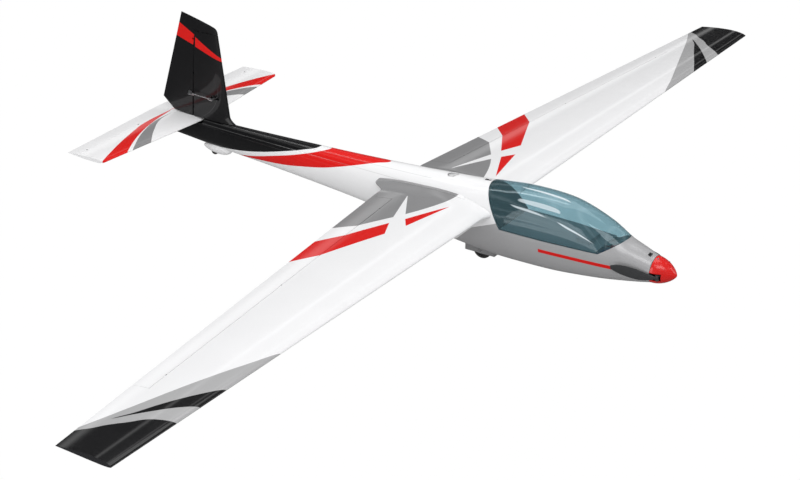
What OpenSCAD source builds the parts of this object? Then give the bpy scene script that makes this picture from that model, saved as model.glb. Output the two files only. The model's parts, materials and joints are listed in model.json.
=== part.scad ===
// Electric RC sailplane with a two-piece wing, root fairings and a folding propeller.
// Millimetres. Nose towards -Y, left wing towards +X, up is +Z.
// The origin is on the ground, under the middle of the main wheel.
// Sizes below are counted from the wing's leading edge at the centre plane, on the wing's chord plane;
// from_ground() moves every finished piece to the origin on the ground.

/* [Wing] */
// Wing span, tip to tip
wing_span = 2400; // [2300:10:2500]
// Wing chord at the centre plane
root_chord = 254; // [250:1:258]
// Wing chord at the tip
tip_chord = 118; // [114:1:122]
// How far the leading edge runs back from the centre to the tip
le_sweep = 9.7; // [6:0.1:14]
// Wing thickness as a share of the chord
wing_thickness = 0.085; // [0.08:0.001:0.09]
// Wing camber as a share of the chord
wing_camber = 0.02; // [0.015:0.001:0.025]
// Distance from the centre plane to the wing panel's root rib
rib_x = 84; // [80:1:90]
// How far the root fairing rises above and below the wing skin where it meets the body
root_flare = 4; // [2:0.5:8]
// Radius of the carbon wing joiner tube
joiner_r = 6; // [5:0.5:6]
// Half length of the carbon wing joiner tube
joiner_half = 300; // [250:10:320]

/* [Ailerons] */
// Aileron's inner end, from the centre plane
aileron_in = 110; // [100:1:120]
// Aileron's outer end, from the centre plane
aileron_out = 978.5; // [960:0.5:990]
// Hinge line at the aileron's inner end, behind the origin
aileron_hinge_in = 193.5; // [190:0.5:196]
// Hinge line at the aileron's outer end, behind the origin
aileron_hinge_out = 114.3; // [111:0.1:117]
// Gap left at each end of an aileron
end_gap = 0.7; // [0.4:0.1:1.2]

/* [Body] */
// Body sections from nose to tail: distance back, top, bottom, half width
hull_rows = [
    [-349, -17.5, -73.5, 27.5],
    [-320, -6, -79.5, 34],
    [-290, 5, -85, 40],
    [-245, 31, -93, 47],
    [-180, 54.5, -101, 53],
    [-130, 61, -105, 56.5],
    [-60, 60.5, -106.5, 58],
    [0, 54, -106, 57.5],
    [60, 46, -101.5, 55],
    [120, 41.5, -95.5, 51],
    [200, 36, -87, 44.5],
    [360, 28, -69.5, 32.5],
    [560, 21.5, -53.5, 22],
    [700, 18.5, -44.5, 16.5],
    [843, 19, -33, 11.5]
];
// Thickness of the moulded body shell
shell_wall = 1.4; // [1.2:0.1:1.8]

/* [Canopy] */
// Front tip of the canopy
canopy_front = -290; // [-292:0.5:-288]
// Where the sloping front edge meets the sill
sill_front = -245; // [-250:0.5:-240]
// Where the sill meets the sloping rear edge
sill_rear = -28; // [-32:0.5:-24]
// Where the rear edge meets the top line
canopy_rear = 21.7; // [20:0.1:23]
// Height of the sill
sill_z = -24; // [-25:0.5:-23]
// Thickness of the clear canopy
glass_wall = 1; // [0.8:0.1:1.2]

/* [Tail] */
// Half span of the tailplane
stab_half = 307.7; // [300:0.1:312]
// Height of the tailplane's chord plane
stab_z = 13; // [12.5:0.1:13.5]
// Elevator hinge line, behind the origin
elevator_y = 859; // [857:0.5:861]
// Tail surfaces' thickness as a share of the chord
tail_thickness = 0.08; // [0.075:0.001:0.085]

/* [Drive] */
// Centre of the nose ring, behind the origin
ring_y = -349; // [-350:0.5:-348]
// Height of the nose ring's centre
ring_z = -45.5; // [-46:0.1:-45]
// How far the thrust line points down, in degrees
thrust_tilt = 3.7; // [2:0.1:4]
// Radius of the spinner at its base
spinner_r = 27.8; // [27:0.1:28]
// Length of the spinner
spinner_len = 47; // [46:0.5:50]
// Turn of the propeller at rest, from level, in degrees
prop_turn = 12; // [8:1:20]
// Distance of a blade's pin from the thrust line
blade_pin_r = 25; // [25:0.1:25.5]
// Distance of a blade's pin ahead of the nose ring
blade_pin_z = 17; // [17:0.1:18]
// Angle between a folded blade and the thrust line, in degrees
blade_fold = 19; // [19:0.5:22]
// Length of a blade beyond its pin
blade_len = 92; // [85:1:94]

/* [Wheels] */
// Main wheel radius
main_r = 21; // [20:0.5:22]
// Main axle, behind the origin
main_y = 42; // [40:0.5:44]
// Height of the main axle
main_z = -108; // [-109:0.1:-107]
// Tail wheel radius
tail_r = 9; // [8:0.5:10]
// Tail axle, behind the origin
tail_y = 735; // [733:0.5:737]
// Height of the tail axle
tail_z = -55; // [-56:0.1:-54]

/* [Hidden] */
$fn = 48;

// Clearance of a turning or sliding fit, on the radius
run = 0.05;
// Gap between two pieces that only lie side by side
gap = 0.3;
// Far enough to cut right through anything
far = 400;

half_span = wing_span / 2;

// ---- Curves ----

// Row of a table that the distance y falls in
function row(t, y) = max([for (i = [0 : len(t) - 2]) t[i][0] <= y ? i : 0]);

// Slope of column k at row i
function slope(t, i, k) =
    let (a = max(i - 1, 0), b = min(i + 1, len(t) - 1))
    (t[b][k] - t[a][k]) / (t[b][0] - t[a][0]);

// Column k of a table at distance y, on a smooth curve through its rows
function along(t, y, k) =
    let (i = row(t, y), h = t[i + 1][0] - t[i][0], s = (y - t[i][0]) / h)
    (1 + 2 * s) * (1 - s) * (1 - s) * t[i][k] + s * (1 - s) * (1 - s) * h * slope(t, i, k)
    + s * s * (3 - 2 * s) * t[i + 1][k] + s * s * (s - 1) * h * slope(t, i + 1, k);

function mix(a, b, s) = a + (b - a) * s;
function clamp(v, low, high) = min(max(v, low), high);

// Closed solid through rings of points, all with the same number of points.
// Points first and last, second and last but one and so on face each other across a ring.
module loft(rings) {
    n = len(rings[0]);
    last = len(rings) - 1;
    sides = [for (i = [0 : last - 1]) for (j = [0 : n - 1]) each [
        [i * n + j, (i + 1) * n + (j + 1) % n, i * n + (j + 1) % n],
        [i * n + j, (i + 1) * n + j, (i + 1) * n + (j + 1) % n]
    ]];
    cap = [for (j = [0 : ceil(n / 2) - 2]) each [
        [j, j + 1, n - 1 - j],
        if (j + 1 < n - 2 - j) [j + 1, n - 2 - j, n - 1 - j]
    ]];
    last_cap = [for (f = cap) [last * n + f[2], last * n + f[1], last * n + f[0]]];
    polyhedron([for (r = rings) each r], concat(sides, cap, last_cap), convexity = 8);
}

// Children drawn with local +X along the line from a to b
module on_line(a, b) {
    d = b - a;
    translate(a)
        rotate([0, -asin(d.z / norm(d)), atan2(d.y, d.x)])
            children();
}

module both_sides() {
    children();
    mirror([1, 0, 0]) children();
}

// Children moved from the wing's own origin to the one on the ground
module from_ground() {
    translate([0, -main_y, main_r - main_z]) children();
}

module x_rod(r, length) {
    rotate([0, 90, 0]) cylinder(r = r, h = length, center = true);
}

module y_rod(r, length) {
    rotate([90, 0, 0]) cylinder(r = r, h = length, center = true);
}

// ---- Airfoils ----

// Half thickness of the section at chord share t, for a thickness share tc
function half_thick(t, tc) =
    5 * tc * (0.2969 * sqrt(t) - 0.126 * t - 0.3516 * t * t + 0.2843 * t * t * t - 0.101 * t * t * t * t);

// Height of the camber line at chord share t
function camber(t) =
    wing_camber * (t < 0.4 ? (0.8 * t - t * t) / 0.16 : (0.2 + 0.8 * t - t * t) / 0.36);

// Chord shares of the section's outline: along the top from the tail, then back underneath
skin_steps = 12;
function share(i) = (1 - cos(180 * abs(i) / skin_steps)) / 2;
outline_steps = [for (i = [-skin_steps : skin_steps]) i];

// Wing section outline as [chord share, height share]
function wing_outline() = [for (i = outline_steps)
    let (t = share(i))
    [t, camber(t) + (i < 0 ? 1 : -1) * half_thick(t, wing_thickness) * (i == 0 ? 0 : 1)]];

// Tail section outline as [chord share, half thickness share]
function tail_outline() = [for (i = outline_steps)
    let (t = share(i))
    [t, (i < 0 ? 1 : -1) * half_thick(t, tail_thickness)]];

function wing_chord(x) = mix(root_chord, tip_chord, abs(x) / half_span);
function wing_nose(x) = le_sweep * abs(x) / half_span;

// Wing skin height over the chord plane at a place; side is 1 on top and -1 underneath
function wing_skin(x, y, side) =
    let (t = clamp((y - wing_nose(x)) / wing_chord(x), 0, 1))
    wing_chord(x) * (camber(t) + side * half_thick(t, wing_thickness));

function wing_ring(x) = [for (p = wing_outline())
    [x, wing_nose(x) + p[0] * wing_chord(x), p[1] * wing_chord(x)]];

// ---- Body shape ----

function hull_top(y) = along(hull_rows, y, 1);
function hull_bottom(y) = along(hull_rows, y, 2);
function hull_wide(y) = along(hull_rows, y, 3);
function hull_mid(y) = (hull_top(y) + hull_bottom(y)) / 2;
function hull_tall(y) = (hull_top(y) - hull_bottom(y)) / 2;

// Share of the thrust line's tilt that a section takes: all at the nose ring, none from 30 mm back
function lean(y) = clamp((ring_y + 29 - y) / 29, 0, 1) * tan(thrust_tilt);

// Point of the section at y, at angle a from its top, a distance inset within the skin
function hull_point(y, a, inset) =
    let (rise = (hull_tall(y) - inset) * cos(a))
    [(hull_wide(y) - inset) * sin(a), y - lean(y) * rise, hull_mid(y) + rise];

// Half width of the body at a height, a distance inset within the skin
function hull_half(y, z, inset) =
    let (s = (z - hull_mid(y)) / (hull_tall(y) - inset))
    (hull_wide(y) - inset) * sqrt(max(0, 1 - s * s));

// Solid between two distances in the body's outside shape, grown by an amount
module hull_form(y0, y1, steps, grow) {
    loft([for (i = [0 : steps])
        [for (j = [0 : 35]) hull_point(mix(y0, y1, i / steps), 10 * (j + 0.5), -grow)]]);
}

// Height of the canopy's cut line, and the angle from the top at which it meets the section
function cut_z(y) =
    y < sill_front ? mix(hull_top(canopy_front), sill_z, (y - canopy_front) / (sill_front - canopy_front))
    : y < sill_rear ? sill_z
    : mix(sill_z, hull_top(canopy_rear), (y - sill_rear) / (canopy_rear - sill_rear));
function cut_angle(y, raise) =
    y <= canopy_front || y >= canopy_rear ? 0
    : acos(clamp((cut_z(y) + raise - hull_mid(y)) / hull_tall(y), -1, 1));

arc_steps = 14;

// One half of the shell as a C-shaped ring; inner is the share of the hollow that is open
function shell_ring(side, y, open) =
    let (a0 = cut_angle(y, 0), arc = [for (i = [0 : arc_steps]) mix(a0, 180, i / arc_steps)])
    concat(
        [for (a = arc) let (p = hull_point(y, a, 0)) [side * p.x, p.y, p.z]],
        [for (i = [arc_steps : -1 : 0])
            let (p = hull_point(y, arc[i], shell_wall), m = hull_mid(y))
            [side * p.x * open, p.y, m + (p.z - m) * open]]
    );

shell_stops = [
    for (y = [ring_y, ring_y + 14, ring_y + 29, -305, canopy_front, -282, -272, -258, sill_front]) y,
    for (y = [-230, -205, -180, -155, -130, -95, -60, sill_rear]) y,
    for (y = [-15, -3, 9, 17, canopy_rear, 40]) y,
    for (y = [65 : 35 : 205]) y,
    for (y = [260 : 60 : 800]) y
];
tail_end = hull_rows[len(hull_rows) - 1][0];

module shell_half(side) {
    rings = [
        for (y = shell_stops) shell_ring(side, y, 1),
        shell_ring(side, tail_end - 2.2, 1),
        shell_ring(side, tail_end - 2, 0.02),
        shell_ring(side, tail_end, 0.02)
    ];
    loft(side < 0 ? [for (i = [len(rings) - 1 : -1 : 0]) rings[i]] : rings);
}

// Everything that is cut out of the shell
module shell_cuts() {
    pod_cut();
    duct_cut();
    translate([0, joiner_y, joiner_z]) x_rod(joiner_r + run, far);
    for (y = pin_places)
        translate([0, y, joiner_z - 2]) x_rod(alignment_r + run, far);
    translate([0, lock_y, 20]) cylinder(r = well_r, h = far);
    translate([-3.2, latch_y - 11.5, 30]) cube([6.4, 16, 60]);
    stab_slot();
    translate([-tenon_half - gap, tenon_y - gap, 0]) cube([2 * (tenon_half + gap), tenon_len + 2 * gap, 60]);
    translate([-tail_slot, tail_y - tail_r - 2, tail_z]) cube([2 * tail_slot, 2 * tail_r + 4, 20]);
    translate([elevator_rod_x, tail_end, elevator_rod_z]) y_rod(3.4, 20);
}

module fuselage_left() {
    color("whitesmoke") from_ground()
        difference() {
            shell_half(1);
            shell_cuts();
        }
}

module fuselage_right() {
    color("whitesmoke") from_ground()
        difference() {
            shell_half(-1);
            shell_cuts();
        }
}

// ---- Canopy ----

canopy_raise = 0.9;
canopy_steps = 20;
function canopy_ring(y) =
    let (a0 = cut_angle(y, canopy_raise))
    concat(
        [for (i = [0 : canopy_steps]) hull_point(y, mix(-a0, a0, i / canopy_steps), 0)],
        [for (i = [canopy_steps : -1 : 0]) hull_point(y, mix(-a0, a0, i / canopy_steps), glass_wall)]
    );
canopy_stops = [
    for (y = [canopy_front + 2, -282, -272, -258, sill_front]) y,
    for (y = [-230, -205, -180, -155, -130, -95, -60, sill_rear]) y,
    for (y = [-15, -3, 9, canopy_rear - 3]) y
];

module canopy_glass() {
    color("lightseagreen", 0.5) from_ground()
        loft([for (y = canopy_stops) canopy_ring(y)]);
}

// Outline of a floor at height z, a distance inset within the skin
function floor_outline(y0, y1, z, inset) =
    let (ys = [for (i = [0 : 16]) mix(y0, y1, i / 16)])
    concat([for (y = ys) [hull_half(y, z, inset), y]], [for (i = [16 : -1 : 0]) [-hull_half(ys[i], z, inset), ys[i]]]);

deck_z = sill_z + canopy_raise + 0.6;
canopy_hinge_y = canopy_front + 1;
canopy_hinge_z = 3.4;
hinge_bar_r = 0.5;
hinge_half = 1;
tongue_half = 6.5;
tongue_len = 56;
tongue_slope = -24.8;
module canopy_deck() {
    color("dimgray") from_ground() {
        translate([0, 0, deck_z])
            linear_extrude(1.5)
                polygon(floor_outline(sill_front + 5, sill_rear - 4, deck_z + 1.5, glass_wall + 2 * gap));
        // Step in front of the seat, and the tongue that hooks under the nose deck
        translate([-22, sill_front + 30, deck_z + 1.5]) cube([44, 30, 9]);
        translate([-tongue_half, sill_front + 4, deck_z - 0.7])
            rotate([tongue_slope, 0, 0])
                translate([0, -tongue_len, 0]) cube([2 * tongue_half, tongue_len + 4, 1.6]);
        // Round bar that the canopy turns on, and its bracket on the tongue
        translate([0, canopy_hinge_y, canopy_hinge_z]) x_rod(hinge_bar_r, 2 * hinge_half);
        translate([-hinge_half, canopy_hinge_y - hinge_bar_r, 0])
            cube([2 * hinge_half, 2 * hinge_bar_r, canopy_hinge_z]);
    }
}

// Sloping plate behind the seat: x and distance up the slope, a distance inset within the skin
rear_rise = hull_top(canopy_rear) - sill_z;
rear_slope = atan2(rear_rise, canopy_rear - sill_rear);
rear_length = norm([canopy_rear - sill_rear, rear_rise]);
plate_top = 0.93;
function plate_outline() =
    let (steps = [for (i = [0 : 14]) mix(0.03, plate_top, i / 14)], inset = glass_wall + 3 * gap)
    concat(
        [for (s = steps) [plate_half(s, inset), s * rear_length]],
        [for (i = [14 : -1 : 0]) [-plate_half(steps[i], inset), steps[i] * rear_length]]
    );
function plate_half(s, inset) =
    hull_half(mix(sill_rear, canopy_rear, s) - 3, sill_z + s * rear_rise + 1.8, inset);

module canopy_bulkhead() {
    color("dimgray") from_ground()
        difference() {
            translate([0, sill_rear - 2.8, sill_z + 0.4])
                rotate([rear_slope, 0, 0])
                    linear_extrude(2)
                        polygon(plate_outline());
            translate([0, canopy_rear, latch_z]) y_rod(latch_r + 0.5, 60);
            translate([-60, sill_front, deck_z - 1]) cube([120, sill_rear - sill_front - 3.8, 2.7]);
        }
}

latch_y = 36;
latch_z = 41;
latch_r = 1.5;
latch_travel = 8;
latch_tip = canopy_rear - 2;
module canopy_latch() {
    color("gray") from_ground() {
        translate([0, latch_tip + 13, latch_z]) y_rod(latch_r, 26);
        translate([-2.6, latch_y - 3, latch_z]) cube([5.2, 6, hull_top(latch_y) - latch_z + 0.6]);
    }
}

module latch_guide() {
    color("dimgray") from_ground()
        difference() {
            translate([-5, latch_y - 12, latch_z - 4]) cube([10, 20, 7.4]);
            translate([0, latch_y, latch_z]) y_rod(latch_r + run, 60);
            translate([-2.7, latch_y - 11.2, latch_z]) cube([5.4, 14.4, 20]);
        }
}

// ---- Control surface hinges and linkages ----
// Each one is drawn in its hinge's own frame: +X along the hinge, +Y aft, levers towards -Z.

lever_len = 16;
lever_thick = 1.6;
pin_r = 0.7;
knuckle_r = 1.5;
knuckle_len = 4;
lobe_len = 14;

// Small nylon block that holds a hinge pin
module hinge_lug(grow) {
    x_rod(knuckle_r + grow, knuckle_len + 2 * grow);
    translate([-knuckle_len / 2 - grow, -7 - grow, -knuckle_r - grow])
        cube([knuckle_len + 2 * grow, 7 + grow, 2 * knuckle_r - 0.3 + 2 * grow]);
}

// Room for one hinge in the fixed surface
module lug_room() {
    hinge_lug(run);
    x_rod(knuckle_r + 0.4, lobe_len + 1.2);
}

// Room for one hinge in the moving surface; r is the radius of that surface's round front edge
module knuckle_room(r) {
    x_rod(r + 0.5, knuckle_len + 1);
    x_rod(pin_r + run, lobe_len + 1);
}

// Flat outline, drawn in the plane across the hinge, as a plate
module cross_plate(thick) {
    rotate([90, 0, 90])
        linear_extrude(thick, center = true)
            children();
}

// Slot that lets a pushrod's pin follow its straight line
module lever_slot() {
    translate([0, -lever_len - 0.8]) circle(1.7);
    translate([0, -lever_len - 1.4]) circle(1.7);
    translate([-1.7, -lever_len - 1.4]) square([3.4, 0.6]);
}

// Control horn on a moving surface; root is how deep it starts inside the surface
module horn(root) {
    cross_plate(lever_thick)
        difference() {
            polygon([
                [5, -root], [14, -root], [13, -root - 3.5], [3.6, -lever_len - 5.5],
                [-3.4, -lever_len - 5.5], [-3.4, -lever_len + 2.5], [5, -root - 3.5]
            ]);
            lever_slot();
        }
}

// Servo arm: hub, shaft and lever; reach is the shaft's length below the lever
module servo_arm(reach) {
    difference() {
        union() {
            cross_plate(lever_thick)
                union() {
                    circle(4.2);
                    polygon([[-4, -1], [4, -1], [3.4, -lever_len - 4.8], [-3.4, -lever_len - 4.8]]);
                }
            translate([-reach / 2 - 1.5, 0, 0]) x_rod(2.4, reach + 3);
        }
        cross_plate(lever_thick + 1) lever_slot();
    }
    translate([lever_thick / 2 + 0.4, 0, 0]) x_rod(1.6, 0.9);
}

servo_tall = 16;
servo_long = 20;
servo_thin = 8.6;
module servo(reach) {
    difference() {
        union() {
            translate([-reach - servo_tall, -14, -servo_thin / 2]) cube([servo_tall, servo_long, servo_thin]);
            translate([-reach - 5, -17, -servo_thin / 2]) cube([1.6, servo_long + 6, servo_thin]);
        }
        translate([-reach, 0, 0]) x_rod(2.4 + run, 8);
        for (y = [-15.5, 7.5])
            translate([-reach - 4, y, 0]) x_rod(0.8, 8);
    }
}

// Fork at a pushrod's end with its pin; roll turns the fork about the rod
module fork(roll) {
    rotate([0, roll, 0]) {
        for (s = [-1, 1])
            translate([s * 1.6 - 0.5, -8, -1.8]) cube([1, 9.8, 3.6]);
        translate([-2.1, -10, -1.8]) cube([4.2, 2.4, 3.6]);
        x_rod(0.6, 4.2);
    }
}

// Pushrod from a servo arm to a horn, length apart
module pushrod(length) {
    translate([0, 0, -lever_len]) {
        fork(0);
        translate([0, -length, 0]) mirror([0, 1, 0]) fork(0);
        translate([0, -length / 2, 0]) y_rod(0.9, length - 19);
    }
}

// ---- Wing ----

joiner_y = 84;
joiner_z = 4.5;
alignment_r = 2.5;
pin_places = [150, 196];
axis_depth = 1.6;
aileron_travel = 25;
link_x = 350;
servo_back = 66;
servo_reach = 2.6;

function aileron_y(x) =
    mix(aileron_hinge_in, aileron_hinge_out, (x - aileron_in) / (aileron_out - aileron_in));
function aileron_end(x) = [x, aileron_y(x), wing_skin(x, aileron_y(x), 1) - axis_depth];
aileron_a = aileron_end(aileron_in);
aileron_b = aileron_end(aileron_out);
aileron_len = norm(aileron_b - aileron_a);
hinge_places = [0.06, 0.5, 0.94];

// The left aileron's hinge frame
module aileron_frame() {
    on_line(aileron_a, aileron_b) children();
}

module aileron_link_frame() {
    aileron_frame() translate([link_x, 0, 0]) children();
}

module aileron_hinges() {
    aileron_frame()
        for (s = hinge_places)
            translate([s * aileron_len, 0, 0]) children();
}

module wing_form() {
    loft([wing_ring(rib_x), wing_ring(half_span)]);
}

// Plan of the aileron, grown at its ends, from a distance behind its hinge line
module aileron_plan(ahead, ends) {
    linear_extrude(far, center = true)
        polygon([
            [aileron_in - ends, aileron_y(aileron_in - ends) + ahead],
            [aileron_out + ends, aileron_y(aileron_out + ends) + ahead],
            [aileron_out + ends, far],
            [aileron_in - ends, far]
        ]);
}

module wing_panel() {
    difference() {
        wing_form();
        aileron_plan(-0.6, end_gap);
        aileron_hinges() lug_room();
        translate([0, joiner_y, joiner_z]) x_rod(joiner_r + run, 2 * joiner_half + 1);
        for (y = pin_places)
            translate([0, y, joiner_z - 2]) x_rod(alignment_r, 2 * (rib_x + 14));
        translate([joiner_half + 8, joiner_y - 14, joiner_z]) x_rod_from(spar_r, spar_len);
        aileron_link_frame()
            translate([-servo_reach - servo_tall - 1, -servo_back - 18, -far])
                cube([servo_tall + servo_reach + 4, 28, far + servo_thin / 2 + 0.3]);
    }
}

spar_r = 4;
spar_len = 420;
module x_rod_from(r, length) {
    rotate([0, 90, 0]) cylinder(r = r, h = length);
}

module wing_left() {
    color("whitesmoke") from_ground() wing_panel();
}

module wing_right() {
    color("whitesmoke") from_ground() mirror([1, 0, 0]) wing_panel();
}

module aileron_panel() {
    difference() {
        union() {
            difference() {
                intersection() {
                    wing_form();
                    aileron_plan(0.5, 0);
                }
                aileron_frame()
                    translate([-5, 0, 0])
                        rotate([90, 0, 90])
                            linear_extrude(aileron_len + 10)
                                polygon([
                                    [-6, 0], [0.5, 0], [0.5 + 20 * tan(aileron_travel + 2), -20], [-6, -20]
                                ]);
            }
            aileron_hinges() x_rod(knuckle_r - 0.05, lobe_len);
        }
        aileron_hinges() knuckle_room(knuckle_r);
    }
    aileron_link_frame() horn(3);
}

module aileron_left() {
    color("whitesmoke") from_ground() aileron_panel();
}

module aileron_right() {
    color("whitesmoke") from_ground() mirror([1, 0, 0]) aileron_panel();
}

// Root fairing: a ring at share s of the way from inside the body (0) to the root rib (1)
fairing_in = 30;
fairing_back = 34;
fairing_front = 8;
function fairing_ring(s) = [for (p = wing_outline())
    let (
        c = wing_chord(rib_x),
        flare = (1 - s) * (1 - s),
        y = wing_nose(rib_x) - fairing_front * flare + p[0] * (c + (fairing_front + fairing_back) * flare),
        z = p[1] * c * (1 + 0.05 * flare) + (p[1] > camber(p[0]) ? 1 : -1) * root_flare * flare
            * sin(180 * clamp(p[0] * 0.9 + 0.1, 0, 1))
    )
    [mix(fairing_in, rib_x, s), y, z]];

module wing_fairing() {
    difference() {
        loft([for (s = [0 : 0.2 : 1]) fairing_ring(s)]);
        hull_form(-40, 320, 12, gap);
        translate([0, joiner_y, joiner_z]) x_rod(joiner_r + run, far);
        for (y = pin_places)
            translate([0, y, joiner_z - 2]) x_rod(alignment_r, far);
    }
}

module wing_fairing_left() {
    color("gray") from_ground() wing_fairing();
}

module wing_fairing_right() {
    color("gray") from_ground() mirror([1, 0, 0]) wing_fairing();
}

module wing_joiner_tube() {
    color("black") from_ground()
        difference() {
            translate([0, joiner_y, joiner_z]) x_rod(joiner_r, 2 * joiner_half);
            translate([0, joiner_y, joiner_z]) x_rod(joiner_r - 1, 2 * joiner_half + 2);
        }
}

module wing_spars() {
    color("black") from_ground()
        both_sides()
            difference() {
                translate([joiner_half + 8, joiner_y - 14, joiner_z]) x_rod_from(spar_r, spar_len);
                translate([joiner_half + 7, joiner_y - 14, joiner_z]) x_rod_from(spar_r - 0.8, spar_len + 2);
            }
}

module alignment_pins() {
    color("black") from_ground()
        both_sides()
            for (y = pin_places)
                translate([hull_half(y, 0, 0) - 12, y, joiner_z - 2])
                    x_rod_from(alignment_r, rib_x + 12 - hull_half(y, 0, 0) + 12);
}

lock_y = 116;
well_r = 9;
lock_r = 2;
module joiner_clamp() {
    color("burlywood") from_ground()
        difference() {
            translate([-17, joiner_y - 14, joiner_z - 12]) cube([34, 56, 26]);
            translate([0, joiner_y, joiner_z]) x_rod(joiner_r + run, 60);
            translate([-20, joiner_y + joiner_r - 1, joiner_z - 0.5]) cube([40, 60, 1]);
            translate([0, lock_y, 0]) cylinder(r = lock_r + run, h = far, center = true);
        }
}

// Hand screw that closes the joiner clamp, with a slotted, scalloped head
module wing_lock_screw() {
    color("dimgray") from_ground() {
        translate([0, lock_y, joiner_z - 10]) cylinder(r = lock_r, h = 28);
        translate([0, lock_y, joiner_z + 15])
            difference() {
                cylinder(r = 8, h = 17);
                for (a = [0 : 30 : 330])
                    rotate([0, 0, a]) translate([8.6, 0, -1]) cylinder(r = 1.4, h = 20);
                translate([-9, -0.9, 15]) cube([18, 1.8, 5]);
            }
    }
}

module hinge_lug_with_bore() {
    difference() {
        hinge_lug(0);
        x_rod(pin_r, 20);
    }
}

module hinge_lugs() {
    color("dimgray") from_ground() {
        both_sides() aileron_hinges() hinge_lug_with_bore();
        elevator_hinges() hinge_lug_with_bore();
        rudder_hinges() hinge_lug_with_bore();
    }
}

module hinge_pins() {
    color("silver") from_ground() {
        both_sides() aileron_hinges() x_rod(pin_r, lobe_len - 1);
        elevator_hinges() x_rod(pin_r, lobe_len - 1);
        rudder_hinges() x_rod(pin_r, lobe_len - 1);
    }
}

module aileron_servos() {
    color("black") from_ground()
        both_sides()
            aileron_link_frame() translate([0, -servo_back, 0]) servo(servo_reach);
}

module aileron_arm() {
    aileron_link_frame() translate([0, -servo_back, 0]) servo_arm(servo_reach);
}

module aileron_arm_left() {
    color("white") from_ground() aileron_arm();
}

module aileron_arm_right() {
    color("white") from_ground() mirror([1, 0, 0]) aileron_arm();
}

module aileron_pushrod_left() {
    color("silver") from_ground() aileron_link_frame() pushrod(servo_back);
}

module aileron_pushrod_right() {
    color("silver") from_ground() mirror([1, 0, 0]) aileron_link_frame() pushrod(servo_back);
}

// ---- Tail ----

// Fin and rudder outline in side view, as [distance back, height]
fin_base = 19.2;
fin_nose_low = [687.1, fin_base];
fin_tail_low = [882.1, fin_base];
fin_nose_top = [717.3, 229.8];
fin_tail_top = [813.6, 254.5];
rudder_kink = [841.5, 20.8];
rudder_heel = [874.6, 44.9];
rudder_low = [0, 786.7, fin_base];
rudder_high = [0, 779.8, 218.5];
cap_z = 218.5;
cap_round = 16;
rudder_r_low = 4.6;
rudder_r_high = 2.7;

// Corner between directions a and b, to be taken off with radius r
module corner_off(corner, a, b, r) {
    half = (b - a) / 2;
    mid = (a + b) / 2;
    centre = corner + r / sin(half) * [cos(mid), sin(mid)];
    difference() {
        polygon([
            corner - 3 * [cos(mid), sin(mid)],
            corner + r / tan(half) * [cos(a), sin(a)] - 3 * [cos(mid), sin(mid)],
            centre,
            corner + r / tan(half) * [cos(b), sin(b)] - 3 * [cos(mid), sin(mid)]
        ]);
        translate(centre) circle(r);
    }
}

// Side view shape pushed right through along X
module side_view() {
    rotate([90, 0, 90]) linear_extrude(80, center = true) children();
}

module fin_form() {
    low = [for (p = tail_outline())
        let (c = fin_tail_low[0] - fin_nose_low[0])
        [p[1] * c, fin_nose_low[0] + p[0] * c, fin_base]];
    high = [for (p = tail_outline())
        let (c = fin_tail_top[0] - fin_nose_top[0])
        [p[1] * c, fin_nose_top[0] + p[0] * c, mix(fin_nose_top[1], fin_tail_top[1], p[0])]];
    loft([high, low]);
}

function rudder_y(z) = mix(rudder_low.y, rudder_high.y, (z - rudder_low.z) / (rudder_high.z - rudder_low.z));

// Tapered rod along a hinge, from radius r1 at the low end to r2 at the high end
module taper(r1, r2, length) {
    rotate([0, 90, 0]) cylinder(r1 = r1, r2 = r2, h = length);
}

rudder_len = norm(rudder_high - rudder_low);
module rudder_frame() {
    on_line(rudder_high, rudder_low) rotate([90, 0, 0]) children();
}

rudder_places = [0.1, 0.5, 0.9];
module rudder_hinges() {
    rudder_frame()
        for (s = rudder_places)
            translate([s * rudder_len, 0, 0]) children();
}

rudder_servo_back = 59;
rudder_link = rudder_len - (75 - fin_base);
module rudder_link_frame() {
    rudder_frame() translate([rudder_link, 0, 0]) children();
}

tenon_half = 1.5;
tenon_y = 705;
tenon_len = 40;
rudder_gap = 0.45;

module fin() {
    color("black") from_ground() {
        difference() {
            intersection() {
                fin_form();
                side_view()
                    polygon([
                        [600, fin_base - 5], [rudder_y(fin_base) - 1.8, fin_base - 5],
                        [rudder_y(cap_z) - 1.3, cap_z - 0.6], [600, cap_z - 0.6]
                    ]);
            }
            rudder_frame()
                translate([-2, 0, 0])
                    taper(rudder_r_high + rudder_gap, rudder_r_low + rudder_gap, rudder_len + 6);
            rudder_hinges() lug_room();
            rudder_link_frame()
                translate([-servo_reach - servo_tall - 1, -rudder_servo_back - 18, -servo_thin / 2 - 0.2])
                    cube([servo_tall + servo_reach + 4, 28, servo_thin + 0.4]);
            rudder_link_frame()
                translate([-servo_reach, -rudder_servo_back - 12, -30]) cube([servo_reach + 3, 22, 30]);
        }
        translate([-tenon_half, tenon_y, 4]) cube([2 * tenon_half, tenon_len, fin_base - 4 + 1]);
    }
}

// What the front edge of the rudder loses on each side, so that it can swing past the fin
rudder_travel = 30;
bevel_from = [-0.6, 1.2];
bevel_reach = 10;
module rudder_bevels() {
    slope = tan(rudder_travel + 2);
    both_sides()
        rudder_frame()
            rotate([90, 0, 90])
                linear_extrude(rudder_len + 20)
                    polygon([
                        [-6, bevel_from[1]], bevel_from,
                        bevel_from + [bevel_reach * slope, bevel_reach], [-6, bevel_from[1] + bevel_reach]
                    ]);
}

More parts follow.
